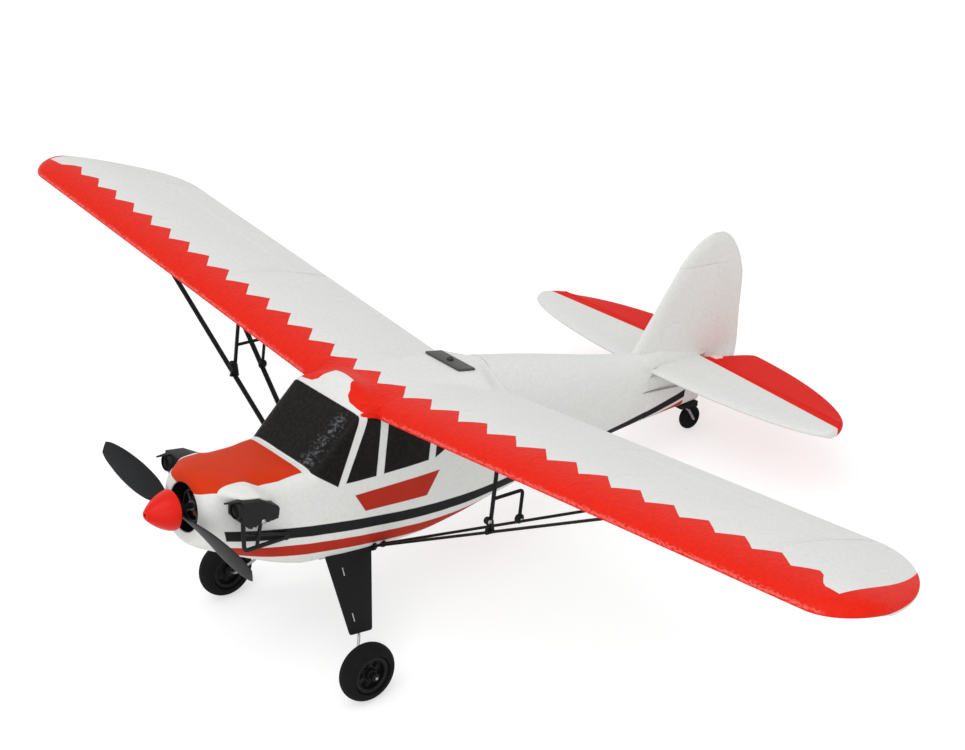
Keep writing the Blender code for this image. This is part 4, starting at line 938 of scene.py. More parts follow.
def aileron_nose():
    """Height of the aileron's hinge line and the radius of its round nose."""
    top, low = wing_top(AILERON_HINGE_Y / CHORD), wing_bottom(AILERON_HINGE_Y / CHORD)
    return (top + low) / 2, (top - low) / 2


def wing_section(reach, stop):
    """One wing section as (y, z), from the rear edge over the top to the nose and back below."""
    front, rear = tip_edges(reach)
    chord = max(rear - front, 1e-5)
    thickness = WING_THICKNESS * (chord / CHORD) ** 0.6
    end = rear if stop is None else stop
    lip = front - APRON * (1 - ease(reach, APRON_FLAT, CENTRE_HALF - GAP))
    points = []
    for k in range(46):
        y = lip + (end - lip) * (0.5 + 0.5 * cos(pi * k / 46)) ** 1.25
        z = wing_top(max(y - front, 0) / chord, thickness)
        if reach < DECK_EDGE + 0.004:
            z = blend_max(z, deck_z(reach, y) * ease(y, 0.020, 0.060), 0.0025)
        if reach < BROW_HALF and y < BROW_BACK:
            z = brow_z(reach, y, z)
        points.append((y, z))
    for k in range(22):
        y = lip + (end - lip) * (0.5 - 0.5 * cos(pi * k / 21)) ** 1.25
        points.append((y, wing_bottom(max(y - front, 0) / chord, thickness)))
    if stop in (None, CHORD):
        low, top = points[-1][1], points[0][1]
        return points + [(end, low + (top - low) * t) for t in spread(0.1, 0.9, COVE_STEPS + 1)]
    axis_z, radius = aileron_nose()
    lean = degrees(asin(radius / (radius + COVE_GAP)))
    return points + arc((AILERON_HINGE_Y, axis_z), radius + COVE_GAP, 180 + lean, 180 - lean, COVE_STEPS)


def make_wing():
    radius = aileron_nose()[1]
    notch = AILERON_HINGE_Y - sqrt((radius + COVE_GAP) ** 2 - radius ** 2)
    inner, outer = CENTRE_HALF + AILERON_INNER - RUN, CENTRE_HALF + AILERON_OUTER + RUN
    length = panel_length() + CENTRE_HALF
    half = [(reach, CHORD) for reach in spread(0, CENTRE_HALF, 30)]
    half += [(reach, CHORD) for reach in spread(CENTRE_HALF + 0.002, CENTRE_HALF + 0.016, 8)]
    half += [(reach, CHORD) for reach in spread(CENTRE_HALF + 0.026, inner - STEP, 13)]
    half += [(reach, notch) for reach in spread(inner, outer, 16)]
    half.append((outer + STEP, CHORD))
    half += [(length - TIP_REAR_DEPTH * (1 - sin(pi / 2 * share)), None)
             for share in spread(0.03, 1.0, 30)]
    rings = []
    for side in (-1, 1):
        rows = list(reversed(half)) if side < 0 else half[1:]
        rings += [[span_point(side, reach, y, z) for y, z in wing_section(reach, stop)] for reach, stop in rows]
    add("wing_foam", through(rings), WING_PAINT, "wing", sharp=40)


def make_aileron(label, side):
    axis_z, radius = aileron_nose()
    ring = arc((AILERON_HINGE_Y, axis_z), radius, 95, 265, 14)
    for y in spread(AILERON_HINGE_Y + 0.003, CHORD, 8):
        ring.append((y, wing_bottom(y / CHORD)))
    for y in spread(CHORD, AILERON_HINGE_Y + 0.003, 8):
        ring.append((y, wing_top(y / CHORD)))
    rings = [[span_point(side, CENTRE_HALF + along, y, z) for y, z in ring]
             for along in spread(AILERON_INNER, AILERON_OUTER, 16)]
    body = f"aileron_{label}"
    add(f"aileron_foam_{label}", through(rings), FOAM, body, body=body, sharp=40)


def make_hold_plate():
    half, depth, thick = PLATE[0] / 2, PLATE[1], PLATE[2]
    middle = PLATE_FRONT_Y + depth / 2
    rings = []
    for x in spread(-half, half, 25):
        low = deck_z(abs(x), PLATE_FRONT_Y) + GAP
        rings.append([(x + shift, y, z) for shift, y, z in (
            (-PLATE_SHEAR, PLATE_FRONT_Y, low), (-PLATE_SHEAR, PLATE_FRONT_Y, low + thick),
            (PLATE_SHEAR, PLATE_FRONT_Y + depth, low + thick), (PLATE_SHEAR, PLATE_FRONT_Y + depth, low))])
    add("hold_down_plate", soften(through(rings), 0.0005), PLATE_SHEEN_PLASTIC, "wing_plate")
    top = DECK_HEIGHT + GAP + thick
    head = [(0, -0.014), (0.0014, -0.014), (0.0014, 0), (0.003, 0), (0.003, 0.0010), (0.0024, 0.0017), (0, 0.0018)]
    screw = turned(head, (0, middle, top), Z_AXIS, 24)
    for span in ((0.0019, 0.0004), (0.0004, 0.0019)):
        slot = block((-span[0], middle - span[1], top + 0.0012), (span[0], middle + span[1], top + 0.003), 0.00005)
        screw = carved(screw, slot)
    add("plate_screw", screw, DARK_STEEL, "wing_screw")


# Fuselage

Row = namedtuple("Row", "y half top mid bottom top_power bottom_power")
NOSE_ROWS = (
    Row(NOSE_Y, 0.0285, -0.0375, THRUST_Z, -0.0955, 2.3, 2.3),
    Row(NOSE_Y + 0.0055, 0.0345, -0.0357, THRUST_Z, -0.0985, 2.6, 2.5),
    Row(-0.130, 0.039, -0.0345, THRUST_Z, -0.1035, 3.0, 2.9),
    Row(-0.105, 0.0425, -0.0345, -0.068, -0.1110, 3.5, 4.0),
    Row(-0.080, 0.0445, -0.035, -0.072, -0.1178, 4.5, 5.6),
    Row(WINDSCREEN_FOOT_Y, CABIN_HALF - 0.001, -0.036, -0.074, -0.1218, 8.0, 7.0))
SCREEN_ROWS = (NOSE_ROWS[-1], Row(WINDSCREEN_HEAD_Y, CABIN_HALF, ROOF_Z - 0.0015, -0.060, BELLY_Z, 20.0, 7.0))
ROOF_ROWS = (SCREEN_ROWS[-1], Row(-RUN, CABIN_HALF, ROOF_Z - 0.003, -0.060, BELLY_Z, 20.0, 7.0))
CABIN_ROWS = (
    Row(-RUN + STEP, CABIN_HALF, SADDLE_Z, -0.060, BELLY_Z, 24.0, 7.0),
    Row(0.060, CABIN_HALF - 0.0005, SADDLE_Z, -0.060, -0.122, 24.0, 6.2),
    Row(0.110, CABIN_HALF - 0.0045, SADDLE_Z, -0.058, -0.1155, 24.0, 5.4),
    Row(CHORD + RUN, CABIN_HALF - 0.009, SADDLE_Z, -0.052, -0.1095, 24.0, 4.8))
TAIL_ROWS = (
    Row(CHORD + RUN + STEP, CABIN_HALF - 0.009, DECK_HEIGHT, -0.052, -0.1095, 2.2, 4.8),
    Row(0.205, 0.030, 0.0103, -0.047, -0.101, 2.2, 4.0),
    Row(0.300, 0.0195, -0.005, -0.045, -0.084, 2.4, 3.6),
    Row(TAIL_STEP_Y, 0.015, -0.0095, -0.045, -0.077, 2.6, 3.4))
STERN_ROWS = (
    Row(TAIL_STEP_Y + STEP, 0.015, STAB_Z - TAIL_RADIUS - GAP, -0.050, -0.077, 6.0, 3.4),
    Row(0.405, 0.0095, STAB_Z - TAIL_RADIUS - GAP, -0.050, -0.071, 6.0, 3.2),
    Row(TAIL_END_Y, 0.0065, STAB_Z - TAIL_RADIUS - GAP, -0.050, -0.069, 6.0, 3.0))
AROUND = 216


def row_at(rows, y):
    return Row(y, *curve_through(rows, y))


def section_point(row, turn):
    """A point of a fuselage section, with the turn measured from the top over the left side."""
    x, z = sin(turn), cos(turn)
    power = row.top_power if z > 0 else row.bottom_power
    height = row.top - row.mid if z > 0 else row.mid - row.bottom
    share = squared(x, z, power)
    return row.half * x * share, row.mid + height * z * share


def blister(side, y, z):
    """How far the foam swells out above the dummy engine."""
    ridge = ENGINE_TOP_Z + 0.0005 - 0.55 * max(y - ENGINE_FRONT_Y - ENGINE_LENGTH / 2, 0)
    along = ease(y, -0.1455, -0.129) * (1 - ease(y, -0.118, -0.090))
    return BLISTER_DEPTH[side] * along * exp(-((z - ridge) / BLISTER_SPREAD[z < ridge]) ** 2)


def fuselage_ring(row):
    ring = []
    for k in range(AROUND):
        x, z = section_point(row, tau * k / AROUND)
        if abs(x) > 0.015:
            side = 1 if x > 0 else -1
            x += side * blister(side, row.y, z)
        ring.append((x, row.y, z))
    return ring


def bore_ring(radius, y):
    return [(radius * sin(tau * k / AROUND), y, THRUST_Z + radius * cos(tau * k / AROUND))
            for k in range(AROUND)]


def make_fuselage():
    rings = [bore_ring(NOSE_BORE - 0.002, BORE_END_Y), bore_ring(NOSE_BORE, NOSE_Y + 0.004),
             bore_ring(NOSE_BORE + 0.0004, NOSE_Y + 0.0008), bore_ring(NOSE_BORE + 0.0013, NOSE_Y)]
    front = NOSE_ROWS[0]
    rings.append(fuselage_ring(front._replace(half=front.half - 0.0025, top=front.top - 0.0025,
                                              bottom=front.bottom + 0.0025)))
    for rows, count in ((NOSE_ROWS, 40), (SCREEN_ROWS, 16), (ROOF_ROWS, 12), (CABIN_ROWS, 24), (TAIL_ROWS, 34),
                        (STERN_ROWS, 16)):
        start = rows[0].y + (0.0012 if rows is NOSE_ROWS else 0)
        for y in spread(start, rows[-1].y, count):
            row = row_at(rows, y)
            if rows is CABIN_ROWS:
                row = row._replace(top=wing_bottom(min(max(y / CHORD, 0), 1)) + 2 * GAP)
            rings.append(fuselage_ring(row))
    add("fuselage_foam", through(rings), FUSELAGE_PAINT, "fuselage_left_half", "fuselage_right_half", sharp=40)


# Tail

def tail_section(front, rear, radius, hinge=None, cove=None):
    """A tail section as (y, height): a moving one is round about its hinge, a fixed one may be hollow there."""
    if hinge is not None:
        nose = arc((hinge, 0), radius, 90, 270, 12)
        slope = [(hinge + (rear - hinge) * t, radius + (TAIL_EDGE - radius) * t) for t in spread(0.15, 0.97, 7)]
        lower = [(y, -z) for y, z in slope]
        return nose + lower + [(rear, 0.0)] + list(reversed(slope))
    depth = min(radius, (rear - front) * 0.35)
    reach = min(0.018, (rear - front) * 0.5)
    upper = [(front + reach * (1 - cos(pi / 2 * t)), depth * sin(pi / 2 * t))
             for t in spread(0, 1, 10)]
    if cove is None:
        end = arc((rear - depth, 0), depth, 90, -90, COVE_STEPS)
    else:
        lean = degrees(asin(depth / (radius + COVE_GAP)))
        end = arc((cove, 0), radius + COVE_GAP, 180 - lean, 180 + lean, COVE_STEPS)
    return upper + end + [(y, -z) for y, z in reversed(upper[1:])]


def stab_front(x):
    return STAB_WIDEST_Y - STAB_FRONT * sqrt(max(1 - (x / STAB_HALF) ** 2, 0))


def stab_rear(x):
    return STAB_WIDEST_Y + STAB_REAR * sqrt(max(1 - (x / STAB_HALF) ** 2, 0))


def make_tailplane():
    inner, outer = ELEVATOR_TIP + RUN, STAB_HALF * 0.9995
    half = [(inner * sin(pi / 2 * t), ELEVATOR_HINGE_Y) for t in spread(0, 1, 32)]
    half += [(inner + STEP + (outer - inner - STEP) * sin(pi / 2 * t), None) for t in spread(0, 1, 12)]
    rings = []
    for x, cove in [(-x, cove) for x, cove in reversed(half)] + half[1:]:
        section = tail_section(stab_front(x), stab_rear(x), TAIL_RADIUS, cove=cove)
        rings.append([(x, y, STAB_Z + z) for y, z in section])
    add("stabilizer_foam", through(rings), TAIL_PAINT, "stabilizer", sharp=40)
    for label, side in SIDES:
        notch_end = ELEVATOR_ROOT + 0.026
        rows = []
        for x in spread(ELEVATOR_ROOT, notch_end, 24):
            inner_edge = ELEVATOR_HINGE_Y + TAIL_RADIUS + ELEVATOR_SLOPE * (x - ELEVATOR_ROOT)
            rows.append((x, -blend_max(-stab_rear(x), -inner_edge, ELEVATOR_CORNER)))
        for t in spread(0.03, 1, 30):
            x = notch_end + (ELEVATOR_TIP - notch_end) * sin(pi / 2 * t)
            rows.append((x, max(stab_rear(x), ELEVATOR_HINGE_Y + TAIL_EDGE)))
        rings = []
        for x, rear in rows:
            section = tail_section(0, rear, TAIL_RADIUS, ELEVATOR_HINGE_Y)
            rings.append([(side * x, y, STAB_Z + z) for y, z in section])
        add(f"elevator_foam_{label}", through(rings), TAIL_PAINT, f"elevator_{label}", body="elevator",
            slot="red_foam", sharp=45)
    back = block((0.0125, 0.4285, STAB_Z + 0.0028), (0.0205, 0.4385, STAB_Z + 0.0046), 0.0006)
    add("elevator_horn_back", back, PINK_PLASTIC, body="elevator")


def fin_front(z):
    return FIN_FOOT_Y + FIN_SWEEP * z


RUDDER_ROWS = (          # height and reach behind the hinge
    (RUDDER_FOOT_Z, 0.018), (RUDDER_FOOT_Z + 0.005, 0.031), (RUDDER_FOOT_Z + 0.014, 0.0375), (STAB_Z, 0.043),
    (0.017, 0.0393), (0.055, 0.0362), (FIN_SPLIT_Z, 0.0305))
# share of its height, share of the fin's reach ahead of the hinge, and reach behind the hinge
BALANCE_ROWS = ((0.0, 1.02, 0.0308), (0.25, 0.89, 0.0270), (0.55, 0.71, 0.0204), (0.80, 0.52, 0.0130),
                (0.93, 0.36, 0.0070), (1.0, 0.22, 0.0010))


def make_fin():
    rings = []
    for z in spread(STAB_Z + TAIL_RADIUS + GAP, FIN_SPLIT_Z - STEP, 24):
        front = max(fin_front(z), TAIL_STEP_Y + 0.001) if z < -0.0095 else fin_front(z)
        rings.append([(x, y, z) for y, x in tail_section(front, RUDDER_HINGE_Y, TAIL_RADIUS, cove=RUDDER_HINGE_Y)])
    add("fin_foam", through(rings), FOAM, "fin", sharp=40)
    rings = []
    for z in spread(RUDDER_FOOT_Z, FIN_SPLIT_Z, 30):
        reach = curve_through(RUDDER_ROWS, z)[0]
        section = tail_section(0, RUDDER_HINGE_Y + reach, TAIL_RADIUS, RUDDER_HINGE_Y)
        rings.append([(x, y, z) for y, x in section])
    blade = through(rings)
    overhang = RUDDER_HINGE_Y - fin_front(FIN_SPLIT_Z)
    rings = []
    for share in spread(0, 1, 22):
        front, reach = curve_through(BALANCE_ROWS, share)
        z = FIN_SPLIT_Z + (RUDDER_TOP_Z - FIN_SPLIT_Z) * share
        section = tail_section(RUDDER_HINGE_Y - overhang * front, RUDDER_HINGE_Y + reach, TAIL_RADIUS)
        thin = 1.0 - 0.75 * share ** 4
        rear_y = RUDDER_HINGE_Y + reach
        rings.append([(x * thin * (1 - 0.8 * ease(y, rear_y - 0.03, rear_y)), y, z) for y, x in section])
    add("rudder_foam", together(blade, through(rings)), FOAM, "rudder", body="rudder", sharp=40)


def make_tail_fairing():
    """Foam that carries the fuselage's back into the fin's foot."""
    rings = []
    low = STAB_Z + TAIL_RADIUS - 0.0004
    for t in spread(0, 1, 20):
        y = TAIL_STEP_Y - 0.012 + (0.4275 - TAIL_STEP_Y + 0.012) * t
        half = 0.0150 + (0.0046 - 0.0150) * ease(t, -0.1, 0.95)
        top = -0.0093 + 0.003 * ease(t, 0.0, 0.8)
        power = 2.4 - 1.25 * ease(t, 0.05, 0.55)
        ring = []
        for k in range(25):
            turn = pi / 2 - pi * k / 24
            x, z = sin(turn), max(cos(turn), 0)
            share = squared(x, z, power)
            ring.append((half * x * share, y, low + (top - low) * z * share))
        ring.append((-half * 0.5, y, low - 0.0001))
        ring.append((half * 0.5, y, low - 0.0001))
        rings.append(ring)
    seat = block((-0.0132, TAIL_STEP_Y - 0.001, STAB_Z - TAIL_RADIUS), (0.0132, TAIL_STEP_Y + 0.005, low + 0.0002),
                 0.0008)
    add("tail_fairing", together(through(rings), seat), FOAM, sharp=40)


# Struts

def wing_under(reach, y):
    return span_point(1, reach, y, wing_bottom(y / CHORD))


def strut_line(y_root, y_top, span):
    """Both ends of a left strut: in the fuselage's lower corner and just below the wing."""
    reach = CENTRE_HALF + (span - CENTRE_HALF) / cos(DIHEDRAL)
    drop = STRUT_RADIUS * 1.2
    head = span_point(1, reach, y_top, wing_bottom(y_top / CHORD) - GAP - drop)
    foot = Vector((STRUT_FOOT[0], y_root, STRUT_FOOT[1]))
    return foot, head


def strut_at(line, x):
    foot, head = line
    return foot + (head - foot) * ((x - foot.x) / (head.x - foot.x))


def make_struts(label, side):
    front = strut_line(STRUT_FRONT_Y - STRUT_ROOT_SPREAD / 2, STRUT_FRONT_Y, STRUT_SPAN)
    rear = strut_line(STRUT_FRONT_Y + STRUT_ROOT_SPREAD / 2, STRUT_REAR_Y, STRUT_REAR_SPAN)
    for name, line in (("front", front), ("rear", rear)):
        foot, head = line
        run = (head - foot).normalized()
        bar = strip([foot, head], Y_AXIS, STRUT_CHORD, STRUT_THICKNESS)
        pad = strip([head - run * 0.007, head - run * 0.001 + Z_AXIS * STRUT_RADIUS], Y_AXIS, STRUT_CHORD * 1.25,
                    STRUT_THICKNESS * 1.2)
        eye = button(0.0031, 0.0028, 0.0016, foot + run * 0.0040, Y_AXIS)
        add(f"strut_bar_{name}_{label}", on_side(together(bar, pad, eye), side), STRUT_PLASTIC,
            f"strut_{name}_{label}")
    make_jury(label, side, front, rear)


def make_jury(label, side, front, rear):
    """Post and bar between the struts and the wing, with its clamps and screws."""
    low, back = strut_at(front, JURY_SPAN), strut_at(rear, JURY_SPAN)
    head = wing_under(CENTRE_HALF + (JURY_SPAN - CENTRE_HALF) / cos(DIHEDRAL), low.y) - Z_AXIS * GAP
    half = JURY_WIDTH / 2
    post = strip([low, head - Z_AXIS * 0.0004], Y_AXIS, JURY_WIDTH, JURY_WIDTH)
    elbow = rounded([(JURY_SPAN, low.y, JURY_BAR_Z - 0.001), (JURY_SPAN, back.y, JURY_BAR_Z + 0.001), back], 0.0035)
    arm = wire(elbow, half, 10)
    foot_z = low.z - STRUT_THICKNESS / 2
    corners = ((-0.0046, 0), (0.0046, 0), (half * 1.15, 0.0125), (-half * 1.15, 0.0125))
    gusset = plate([(JURY_SPAN, low.y + y, foot_z + z) for y, z in corners], JURY_WIDTH * 1.1, X_AXIS, 0, 0.0006)
    boss_at = Vector((JURY_SPAN, low.y - 0.0030, low.z + 0.0105))
    cap = [(0, -0.0022), (0.0028, -0.0022), (0.0032, -0.0012), (0.0032, 0.0012), (0.0028, 0.0022), (0, 0.0022)]
    ball = [(0.0044 * cos(t), 0.0030 * sin(t)) for t in spread(-1.2, 1.2, 9)]
    ball = [(0, -0.0030)] + ball + [(0, 0.0030)]
    clamp_at = back + Z_AXIS * 0.0028
    frame_piece = together(post, arm, gusset, turned(cap, boss_at, X_AXIS, 24), turned(ball, clamp_at, X_AXIS, 28))
    add(f"jury_frame_{label}", on_side(frame_piece, side), STRUT_PLASTIC, f"jury_strut_{label}")
    head_profile = [(0, 0.0016), (0.0019, 0.0016), (0.0019, 0.0026), (0.0014, 0.0032), (0, 0.0034)]
    small = [(radius * 0.75, along + 0.0010) for radius, along in head_profile]
    screws = together(turned(head_profile, boss_at, X_AXIS, 16), turned(small, clamp_at, X_AXIS, 16))
    add(f"jury_screws_{label}", on_side(screws, side), SCREW_STEEL)


# Undercarriage

def leg_points(side):
    """The undercarriage wire of one side, from the belly to the end of the axle."""
    end = TRACK_HALF + HUB_WIDTH / 2 + 0.0056
    elbow = TRACK_HALF - HUB_WIDTH / 2 - 0.006
    top_z = BELLY_Z - GAP - WIRE_RADIUS - GAP
    points = [(LEG_TOP_HALF, GEAR_Y, top_z), LEG_MID, (elbow, AXLE_Y, AXLE_Z), (end, AXLE_Y, AXLE_Z)]
    return [Vector((side * x, y, z)) for x, y, z in points]


def make_gear():
    line = list(reversed(leg_points(-1))) + leg_points(1)
    add("gear_spring_wire", wire(rounded(line, 0.006, 5), WIRE_RADIUS, 14), STEEL, "gear_wire")
    top = BELLY_Z - GAP
    base = through([[(x * half, middle + y * depth, top - drop) for x, y in ((-1, -1), (1, -1), (1, 1), (-1, 1))]
                    for half, depth, drop, middle in BELLY_PLATE_STEPS])
    base = soften(base, 0.0008, angle=20)
    lug = block((-BELLY_PLATE_HALF, STRUT_FRONT_Y - 0.0085, top - BELLY_PLATE_THICKNESS + 0.0008),
                (BELLY_PLATE_HALF, STRUT_FRONT_Y + 0.0085, top - 0.0004), 0.0008)
    base = carved(base, lug, "UNION")
    groove = WIRE_RADIUS + GAP
    slot = block((-0.06, GEAR_Y - groove, top - 2 * groove), (0.06, GEAR_Y + groove, top + 0.01), 0.0001)
    base = carved(base, slot)
    head = [(0, 0), (0.003, 0), (0.003, 0.0008), (0.0022, 0.0016), (0, 0.0017)]
    heads = [turned(head, (x, y, top - BELLY_PLATE_THICKNESS + 0.0002), -Z_AXIS, 20) for x in (-0.014, 0.014)
             for y in (BELLY_PLATE_FRONT + 0.018, BELLY_PLATE_REAR - 0.008)]
    add("belly_plate_body", base, MATT_BLACK, "belly_plate")
    add("belly_plate_screws", together(*heads), SCREW_STEEL)
    for label, side in SIDES:
        make_fairing(label, side)
        make_wheel(label, side)


def make_fairing(label, side):
    top, foot = leg_points(1)[:2]
    run = (foot - top).normalized()
    out = run.cross(Y_AXIS).normalized()
    out = out if out.x > 0 else -out
    top = top - run * FAIRING_RISE
    corners = [top - Y_AXIS * FAIRING_TOP_WIDTH / 2, top + Y_AXIS * FAIRING_TOP_WIDTH / 2,
               foot + Y_AXIS * FAIRING_FOOT_WIDTH / 2, foot - Y_AXIS * FAIRING_FOOT_WIDTH / 2]
    middle = WIRE_RADIUS + GAP + FAIRING_THICKNESS / 2
    sheet = plate(rounded(corners, 0.0022, 3, loop=True), FAIRING_THICKNESS, out, middle, 0.0005)
    clips = []
    for share in (0.24, 0.80):
        front = corners[0].lerp(corners[3], share)
        rear = corners[1].lerp(corners[2], share)
        spot = front.lerp(rear, 0.30) + out * (middle + FAIRING_THICKNESS / 2)
        lean = (corners[3].lerp(corners[2], 0.30) - corners[0].lerp(corners[1], 0.22)).normalized()
        ends = [spot - lean * 0.0035, spot + lean * 0.0035]
        sheet = carved(sheet, wire([end - out * 0.0001 for end in ends], 0.0009, 8))
        clips.append(wire([end - out * 0.0004 for end in ends], 0.0005, 8))
    add(f"leg_fairing_{label}", on_side(sheet, side), MATT_BLACK, f"gear_fairing_{label}")
    add(f"fairing_clips_{label}", on_side(together(*clips), side), SCREW_STEEL)


def make_wheel(label, side):
    centre = Vector((side * TRACK_HALF, AXLE_Y, AXLE_Z))
    half, radius = WHEEL_WIDTH / 2, WHEEL_RADIUS
    bead = HUB_RADIUS + GAP
    core = radius - 0.0082
    tread = [(bead, -half * 0.80)]
    for angle in spread(-92, 92, 25):
        tilt = radians(angle)
        tread.append((core + (radius - core) * cos(tilt), half * 0.89 * sin(tilt)))
    tread.append((bead, half * 0.80))
    add(f"wheel_tyre_{label}", turned(tread, centre, X_AXIS, 72, closed=True), RUBBER, f"tyre_{label}",
        body=f"wheel_{label}")
    bore = WIRE_RADIUS + 0.00025
    rim = HUB_WIDTH / 2
    profile = [(bore, rim), (HUB_RADIUS * 0.27, rim), (HUB_RADIUS * 0.30, rim * 0.9), (HUB_RADIUS * 0.32, rim * 0.5),
               (HUB_RADIUS * 0.72, rim * 0.42), (HUB_RADIUS * 0.76, rim * 0.84), (HUB_RADIUS * 0.80, rim * 0.92),
               (HUB_RADIUS * 0.95, rim * 0.92), (HUB_RADIUS, rim * 0.8)]
    profile += [(r, -a) for r, a in reversed(profile)]
    hub = turned(profile, centre, X_AXIS, 60, closed=True)
    for k in range(6):
        turn = tau * k / 6
        spot = centre + Vector((0, cos(turn), sin(turn))) * HUB_RADIUS * 0.53
        hub = carved(hub, turned([(0, -rim), (0.0025, -rim), (0.0025, rim), (0, rim)], spot, X_AXIS, 16))
    add(f"wheel_hub_{label}", hub, HUB_PLASTIC, f"hub_{label}", body=f"wheel_{label}")


def make_tail_wheel():
    half, radius = TAIL_WHEEL_WIDTH / 2, TAIL_WHEEL_RADIUS
    bore = WIRE_RADIUS + 0.00025
    profile = [(bore, -half), (radius * 0.32, -half), (radius * 0.36, -half * 0.7), (radius * 0.62, -half * 0.7),
               (radius * 0.66, -half)]
    for angle in spread(-75, 75, 11):
        tilt = radians(angle)
        profile.append((radius - half * 0.75 * (1 - cos(tilt)),
                        half * sin(tilt) / sin(radians(75))))
    profile += [(r, -along) for r, along in reversed(profile[:5])]
    add("tail_wheel_tyre", turned(profile, (0, TAIL_WHEEL_Y, TAIL_WHEEL_Z), X_AXIS, 48, closed=True), RUBBER,
        "tail_wheel", body="tail_roller")


# Power

def about_thrust(shape, angle):
    """A form drawn about the origin, turned onto the thrust line."""
    turn = Matrix.Translation(THRUST_LINE) @ Matrix.Rotation(angle, 4, "Y")
    bmesh.ops.transform(shape, matrix=turn, verts=shape.verts)
    return shape


def make_propeller():
    rear_y = SPINNER_BASE_Y + GAP + PROP_HUB_LENGTH
    middle_y = rear_y - PROP_HUB_LENGTH / 2
    rows = ((0.02, 0.36, 46, 0.0040), (0.16, 0.46, 44, 0.0036), (0.32, 0.82, 34, 0.0030), (0.52, 1.0, 24, 0.0024),
            (0.72, 0.97, 18, 0.0018), (0.86, 0.82, 14, 0.0014), (0.95, 0.64, 13, 0.0012), (1.0, 0.44, 12, 0.0010))
    blades = []
    for number in range(2):
        rings = []
        for share in spread(0.05, 1.0, 34):
            width, pitch, thick = curve_through(rows, share)
            turn, half = radians(pitch), PROP_CHORD * width / 2
            ring = []
            for k in range(22):
                angle = tau * k / 22
                a = half * cos(angle)
                b = thick / 2 * sin(angle) * (1.0 if sin(angle) > 0 else 0.4)
                ring.append((share * PROP_RADIUS, middle_y - a * sin(turn) - b * cos(turn),
                             a * cos(turn) - b * sin(turn)))
            rings.append(ring)
        blades.append(about_thrust(through(rings), PROP_REST + pi * number))
    low, high, edge = -rear_y, -rear_y + PROP_HUB_LENGTH, 0.0006
    hub = [(SHAFT_RADIUS + GAP, low), (PROP_HUB_RADIUS - edge, low), (PROP_HUB_RADIUS, low + edge),
           (PROP_HUB_RADIUS, high - edge), (PROP_HUB_RADIUS - edge, high), (SHAFT_RADIUS + GAP, high)]
    hub = turned(hub, THRUST_LINE, -Y_AXIS, 40, closed=True)
    add("propeller_blades", together(hub, *blades), PROP_PLASTIC, "propeller", body="power_train")


def make_spinner():
    length = SPINNER_BASE_Y - SPINNER_TIP_Y
    cone = [(0, -SPINNER_BASE_Y), (SPINNER_RADIUS - 0.0005, -SPINNER_BASE_Y)]
    for share in spread(0.01, 1.0, 30):
        radius = SPINNER_RADIUS * (0.20 + 0.80 * (1 - share ** 1.6) ** 0.9)
        cone.append((radius, -SPINNER_BASE_Y + share * length))
    hole = 0.0016
    cone += [(hole, -SPINNER_TIP_Y), (hole, -SPINNER_TIP_Y - 0.005), (0, -SPINNER_TIP_Y - 0.005)]
    add("spinner_cone", turned(cone, THRUST_LINE, -Y_AXIS, 64), SPINNER_RED, "spinner", body="power_train")
    plug = turned([(0, 0), (hole * 0.96, 0), (hole * 0.96, 0.0018), (0, 0.0018)],
                  (0, SPINNER_TIP_Y + 0.0050, THRUST_Z), -Y_AXIS, 16)
    add("spinner_screw", plug, DARK_STEEL, body="power_train")


def make_motor():
    front, rear = -BELL_FRONT_Y, -BELL_FRONT_Y - BELL_LENGTH + 0.001
    wall = 0.0016
    cup = [(BELL_RADIUS - wall, front - 0.001), (BELL_RADIUS - wall, rear), (BELL_RADIUS - 0.0004, rear),
           (BELL_RADIUS, rear + 0.0004), (BELL_RADIUS, front - 0.0010), (BELL_RADIUS - 0.0012, front),
           (BELL_RADIUS - wall - 0.0006, front)]
    can = turned(cup, THRUST_LINE, -Y_AXIS, 60, closed=True)
    core = [(0, front - 0.0024), (0.0052, front - 0.0024), (0.0052, front), (0.0044, front + 0.0008),
            (SHAFT_RADIUS, front + 0.0008), (SHAFT_RADIUS, -SPINNER_BASE_Y - GAP), (0, -SPINNER_BASE_Y - GAP)]
    spokes = [about_thrust(block((-0.0016, BELL_FRONT_Y + 0.0003, 0.004),
                                 (0.0016, BELL_FRONT_Y + 0.0020, BELL_RADIUS - 0.0012), 0.0003),
                           tau * (k + 0.5) / 4) for k in range(4)]
    core = turned(core, THRUST_LINE, -Y_AXIS, 32)
    add("motor_can_and_shaft", together(can, core, *spokes), MOTOR_BLACK, "motor_bell", body="power_train")
    coils = [about_thrust(block((-0.0026, BELL_FRONT_Y + 0.0032, 0.0056), (0.0026, BELL_FRONT_Y + 0.017, 0.0118),
                                0.0012), tau * k / 9) for k in range(9)]
    foot = -BELL_FRONT_Y - BELL_LENGTH - 0.0036
    base = [(0, foot), (0.0115, foot), (0.0115, foot + 0.0034), (0.0056, foot + 0.0044), (0.0056, front - 0.0030),
            (0, front - 0.0030)]
    add("wound_stator", together(turned(base, THRUST_LINE, -Y_AXIS, 40), *coils), COPPER, "motor_stator")


